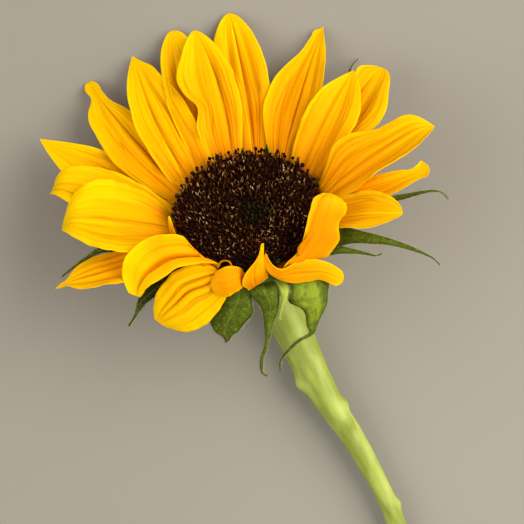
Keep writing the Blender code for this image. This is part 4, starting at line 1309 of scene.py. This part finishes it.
def bract_look():
    """Green with veins, spots and a rib, brown at the tip, and paler or darker by the bract, partly its own
    tone and partly painted light and painted shade.
    """
    look = Look("bract green")
    share, side, number = look.tags("blade")
    pale = look.tag("pale")
    veins = look.streaks(look.times(share, 3.0), look.times(side, 7.0), look.times(number, 23.0), 4.0, 0.6)
    spots = look.grain(1300.0, 3.0)
    along = look.plus(share, look.spread(veins, 0.3, 0.7, -0.15, 0.15))
    look.colour = look.mix(pale, look.ramp(along, DARK_AND_SHADED_BRACT_STOPS), look.ramp(along, PALE_AND_LIT_BRACT_STOPS))
    look.over(look.spread(spots, 0.48, 0.66, 0.0, 0.4), (0.30, 0.37, 0.05))
    look.over(look.spread(look.grain(300.0, 3.0), 0.48, 0.64, 0.0, 0.6), (0.035, 0.06, 0.004))
    # The palest is pale to its tip, and the other pale ones get painted shade along both edges
    look.over(look.spread(pale, 0.9, 1.0, 0.0, 0.85), (0.46, 0.54, 0.07))
    edge_shade = look.times(pale, look.spread(pale, 0.8, 0.9, 1.0, 0.0))
    look.over(look.times(edge_shade, look.spread(side, 0.45, 0.70, 0.0, 0.7)), (0.05, 0.09, 0.005))
    look.over(look.times(edge_shade, look.spread(side, -0.35, -0.8, 0.0, 0.9)), (0.015, 0.028, 0.003))
    # Those below 0 are the darkest, as painted shade
    look.over(look.spread(pale, 0.0, -1.0), (0.008, 0.012, 0.001))
    look.over(look.spread(look.math("ABSOLUTE", side), 0.0, 0.12, 0.5, 0.0), (0.20, 0.25, 0.02))
    look.over(look.times(look.edge(side, 10.0), 0.8), (0.03, 0.04, 0.004))
    look.let_through(0.2)
    height = look.times(look.plus(veins, spots), 0.6)
    return look.finish(look.spread(spots, 0.3, 0.7, 0.5, 0.75), 0.08, (height, 0.6, 0.0004))


def cup_look():
    look = Look("cup green")
    spots = look.grain(1100.0, 3.0)
    look.clouds(look.grain(120.0, 3.0), 0.3, (0.06, 0.10, 0.008), (0.16, 0.24, 0.025))
    look.over(look.spread(spots, 0.45, 0.7, 0.0, 0.5), (0.24, 0.33, 0.05))
    return look.finish(0.65, bump=(spots, 0.5, 0.0003))


def bed_look():
    look = Look("petal bed")
    broad = look.grain(400.0, 3.0)
    # The roots' orange, darkened to brown as painted shade between the petals
    look.clouds(broad, 0.3, (0.20, 0.06, 0.002), (0.42, 0.14, 0.004))
    look.over(look.tag("outer"), (0.035, 0.06, 0.008))
    return look.finish(0.7, bump=(broad, 0.5, 0.0004))


def disc_look():
    """Florets by height: black feet, maroon tubes, brown and ochre tops, and pale flecks on some."""
    look = Look("disc brown")
    tall, place, tint = look.tags("floret")
    grain = look.grain(1500.0, 3.0)
    tint = look.plus(tint, look.spread(look.grain(130.0, 2.0), 0.38, 0.62, -0.30, 0.10))
    look.colour = look.ramp(look.spread(tall, -0.2, 1.3), FLORET_FOOT_STOPS)
    look.over(look.spread(tall, 1.2, 1.7), look.ramp(tint, FLORET_TOP_STOPS))
    olive = look.mix(look.spread(tint, 0.2, 0.8), (0.008, 0.007, 0.002), (0.05, 0.045, 0.010))
    look.over(look.spread(place, 0.2, 0.3, 0.85, 0.0), olive)
    look.over(look.spread(grain, 0.4, 0.7, 0.0, 0.3), (0.008, 0.002, 0.002))
    return look.finish(look.spread(grain, 0.3, 0.7, 0.4, 0.7), bump=(grain, 0.4, 0.0002))


def knob_look():
    """Near-black knobs on reddish stalks."""
    look = Look("knob brown")
    tall, _, tint = look.tags("floret")
    grain = look.grain(1500.0, 3.0)
    look.colour = look.mix(tint, (0.30, 0.06, 0.008), (0.10, 0.02, 0.004))
    head = look.mix(look.spread(tint, 0.6, 1.0), (0.010, 0.002, 0.002), (0.035, 0.006, 0.003))
    look.over(look.spread(tall, -0.25, -0.05), head)
    return look.finish(look.spread(grain, 0.3, 0.7, 0.4, 0.7), 0.03, (grain, 0.5, 0.0002))


def scale_look():
    """Dark green scales, browner towards their tips."""
    look = Look("scale green")
    share, side, number = look.tags("blade")
    streaks = look.streaks(look.times(share, 2.0), look.times(side, 6.0), number)
    look.clouds(streaks, 0.35, (0.020, 0.030, 0.003), (0.07, 0.10, 0.010))
    look.over(look.spread(share, 0.6, 1.0, 0.0, 0.6), (0.03, 0.025, 0.003))
    return look.finish(0.6, 0.1, (streaks, 0.5, 0.0003))


def disc_bed_look():
    look = Look("disc bed")
    grain = look.grain(900.0, 3.0)
    look.clouds(grain, 0.3, (0.004, 0.001, 0.001), (0.015, 0.005, 0.002))
    return look.finish(0.85, bump=(grain, 0.6, 0.0005))


def stem_look():
    """Pale green with long soft stretches of painted highlight and painted shade, painted shade under the
    head, and a pale cut end.
    """
    look = Look("stem green")
    streaks = look.grain(1.0, 3.0, (900.0, 60.0, 900.0))
    highlight_and_shade_patches = look.grain(1.0, 1.5, (170.0, 60.0, 170.0))
    spots = look.grain(1600.0, 2.0)
    look.clouds(look.grain(60.0, 2.0), 0.3, (0.19, 0.235, 0.012), (0.28, 0.325, 0.026))
    look.over(look.spread(streaks, 0.45, 0.7, 0.0, 0.25), (0.15, 0.19, 0.01))
    # Painted highlight in long soft streaks, and painted shade between them
    look.over(look.spread(highlight_and_shade_patches, 0.44, 0.72, 0.0, 0.75), (0.41, 0.48, 0.09))
    look.over(look.spread(highlight_and_shade_patches, 0.50, 0.30, 0.0, 0.5), (0.14, 0.18, 0.008))
    look.over(look.spread(spots, 0.55, 0.75, 0.0, 0.35), (0.38, 0.42, 0.08))
    # Painted shade under the head
    look.over(look.spread(look.tag("along"), 30.0, 60.0, 0.35, 0.0), (0.14, 0.17, 0.008))
    look.over(look.spread(look.tag("cut"), 0.15, 0.4), (0.66, 0.66, 0.42))
    look.shader.inputs["Subsurface Weight"].default_value = 0.15
    look.shader.inputs["Subsurface Radius"].default_value = (0.6, 1.0, 0.3)
    look.shader.inputs["Subsurface Scale"].default_value = 0.001
    height = look.plus(look.times(streaks, 0.6), look.times(spots, 0.5))
    return look.finish(look.spread(spots, 0.3, 0.7, 0.5, 0.7), PLAIN_SPECULAR, (height, 0.4, 0.0003))


def hair_look(name, low, high):
    look = Look(name)
    look.clouds(look.grain(700.0, 2.0), 0.35, low, high)
    look.let_through(0.4, [(dark + light) / 2 for dark, light in zip(low, high)])
    return look.finish(0.5, PLAIN_SPECULAR)


# Floor, light and camera


def make_stage():
    mesh = bpy.data.meshes.new("floor")
    corners = [(-1, -1), (1, -1), (1, 1), (-1, 1)]
    mesh.from_pydata([(x * FLOOR_REACH, y * FLOOR_REACH, 0) for x, y in corners], [], [(0, 1, 2, 3)])
    look = Look("floor")
    look.clouds(look.grain(3.0, 2.0), 0.35, (0.225, 0.205, 0.165), (0.25, 0.23, 0.19))
    mesh.materials.append(look.finish(0.9, PLAIN_SPECULAR))
    show("floor", mesh)


def make_lights():
    """Two large soft lights that face the head, and a pale world."""
    for name, (way, size, power, colour) in LIGHTS.items():
        data = bpy.data.lights.new(name, "AREA")
        data.shape = "DISK"
        data.size = size
        data.energy = power
        data.color = colour
        way = Vector(PHOTO_AXES @ way)
        light = show(name, data)
        light.location = Vector(HEAD_PLACE * MM) + way
        light.rotation_euler = way.to_track_quat("Z", "Y").to_euler()
    world = bpy.data.worlds.new("studio")
    world.use_nodes = True
    background = world.node_tree.nodes["Background"]
    background.inputs["Color"].default_value = (*WORLD_COLOUR, 1.0)
    background.inputs["Strength"].default_value = WORLD_STRENGTH
    bpy.context.scene.world = world


def make_camera():
    """The photo's view: straight down, from its own place above the disc."""
    data = bpy.data.cameras.new("camera")
    data.sensor_width = SENSOR
    data.lens = SENSOR * VIEW_DISTANCE / VIEW_WIDTH
    data.clip_start = 0.01
    camera = show("camera", data)
    camera.location = (HEAD_PLACE + PHOTO_AXES @ (*VIEW_SHIFT, VIEW_DISTANCE)) * MM
    camera.rotation_euler = (0, 0, -math.radians(VIEW_TURN))
    bpy.context.scene.camera = camera


def main():
    petals = petal_look()
    make_petals("petals_back", BACK_PETALS, 21, petals)
    make_petals("petals_middle", MIDDLE_PETALS, 22, petals)
    make_petals("petals_front", FRONT_PETALS, 23, petals)
    make_petals("petals_near", NEAR_SHEETS, 24, petals, NEAR_TONES, SHEET_FOLDS)
    make_petals("petal_shreds", SHREDS, 25, petals, SHRED_TONES)
    make_bed(bed_look())
    make_bracts(bract_look())
    make_bract_hairs(hair_look("bract hairs", (0.30, 0.37, 0.07), (0.60, 0.66, 0.26)))
    make_cup(cup_look())
    disc = disc_look()
    make_disc_bed(disc_bed_look())
    make_florets(disc, knob_look())
    make_chaff(disc)
    make_rim_scales(scale_look())
    make_stem(stem_look())
    make_stem_hairs(hair_look("stem hairs", (0.36, 0.42, 0.08), (0.60, 0.65, 0.25)))
    make_stage()
    make_lights()
    make_camera()
    bpy.context.scene.view_settings.view_transform = "Standard"


main()
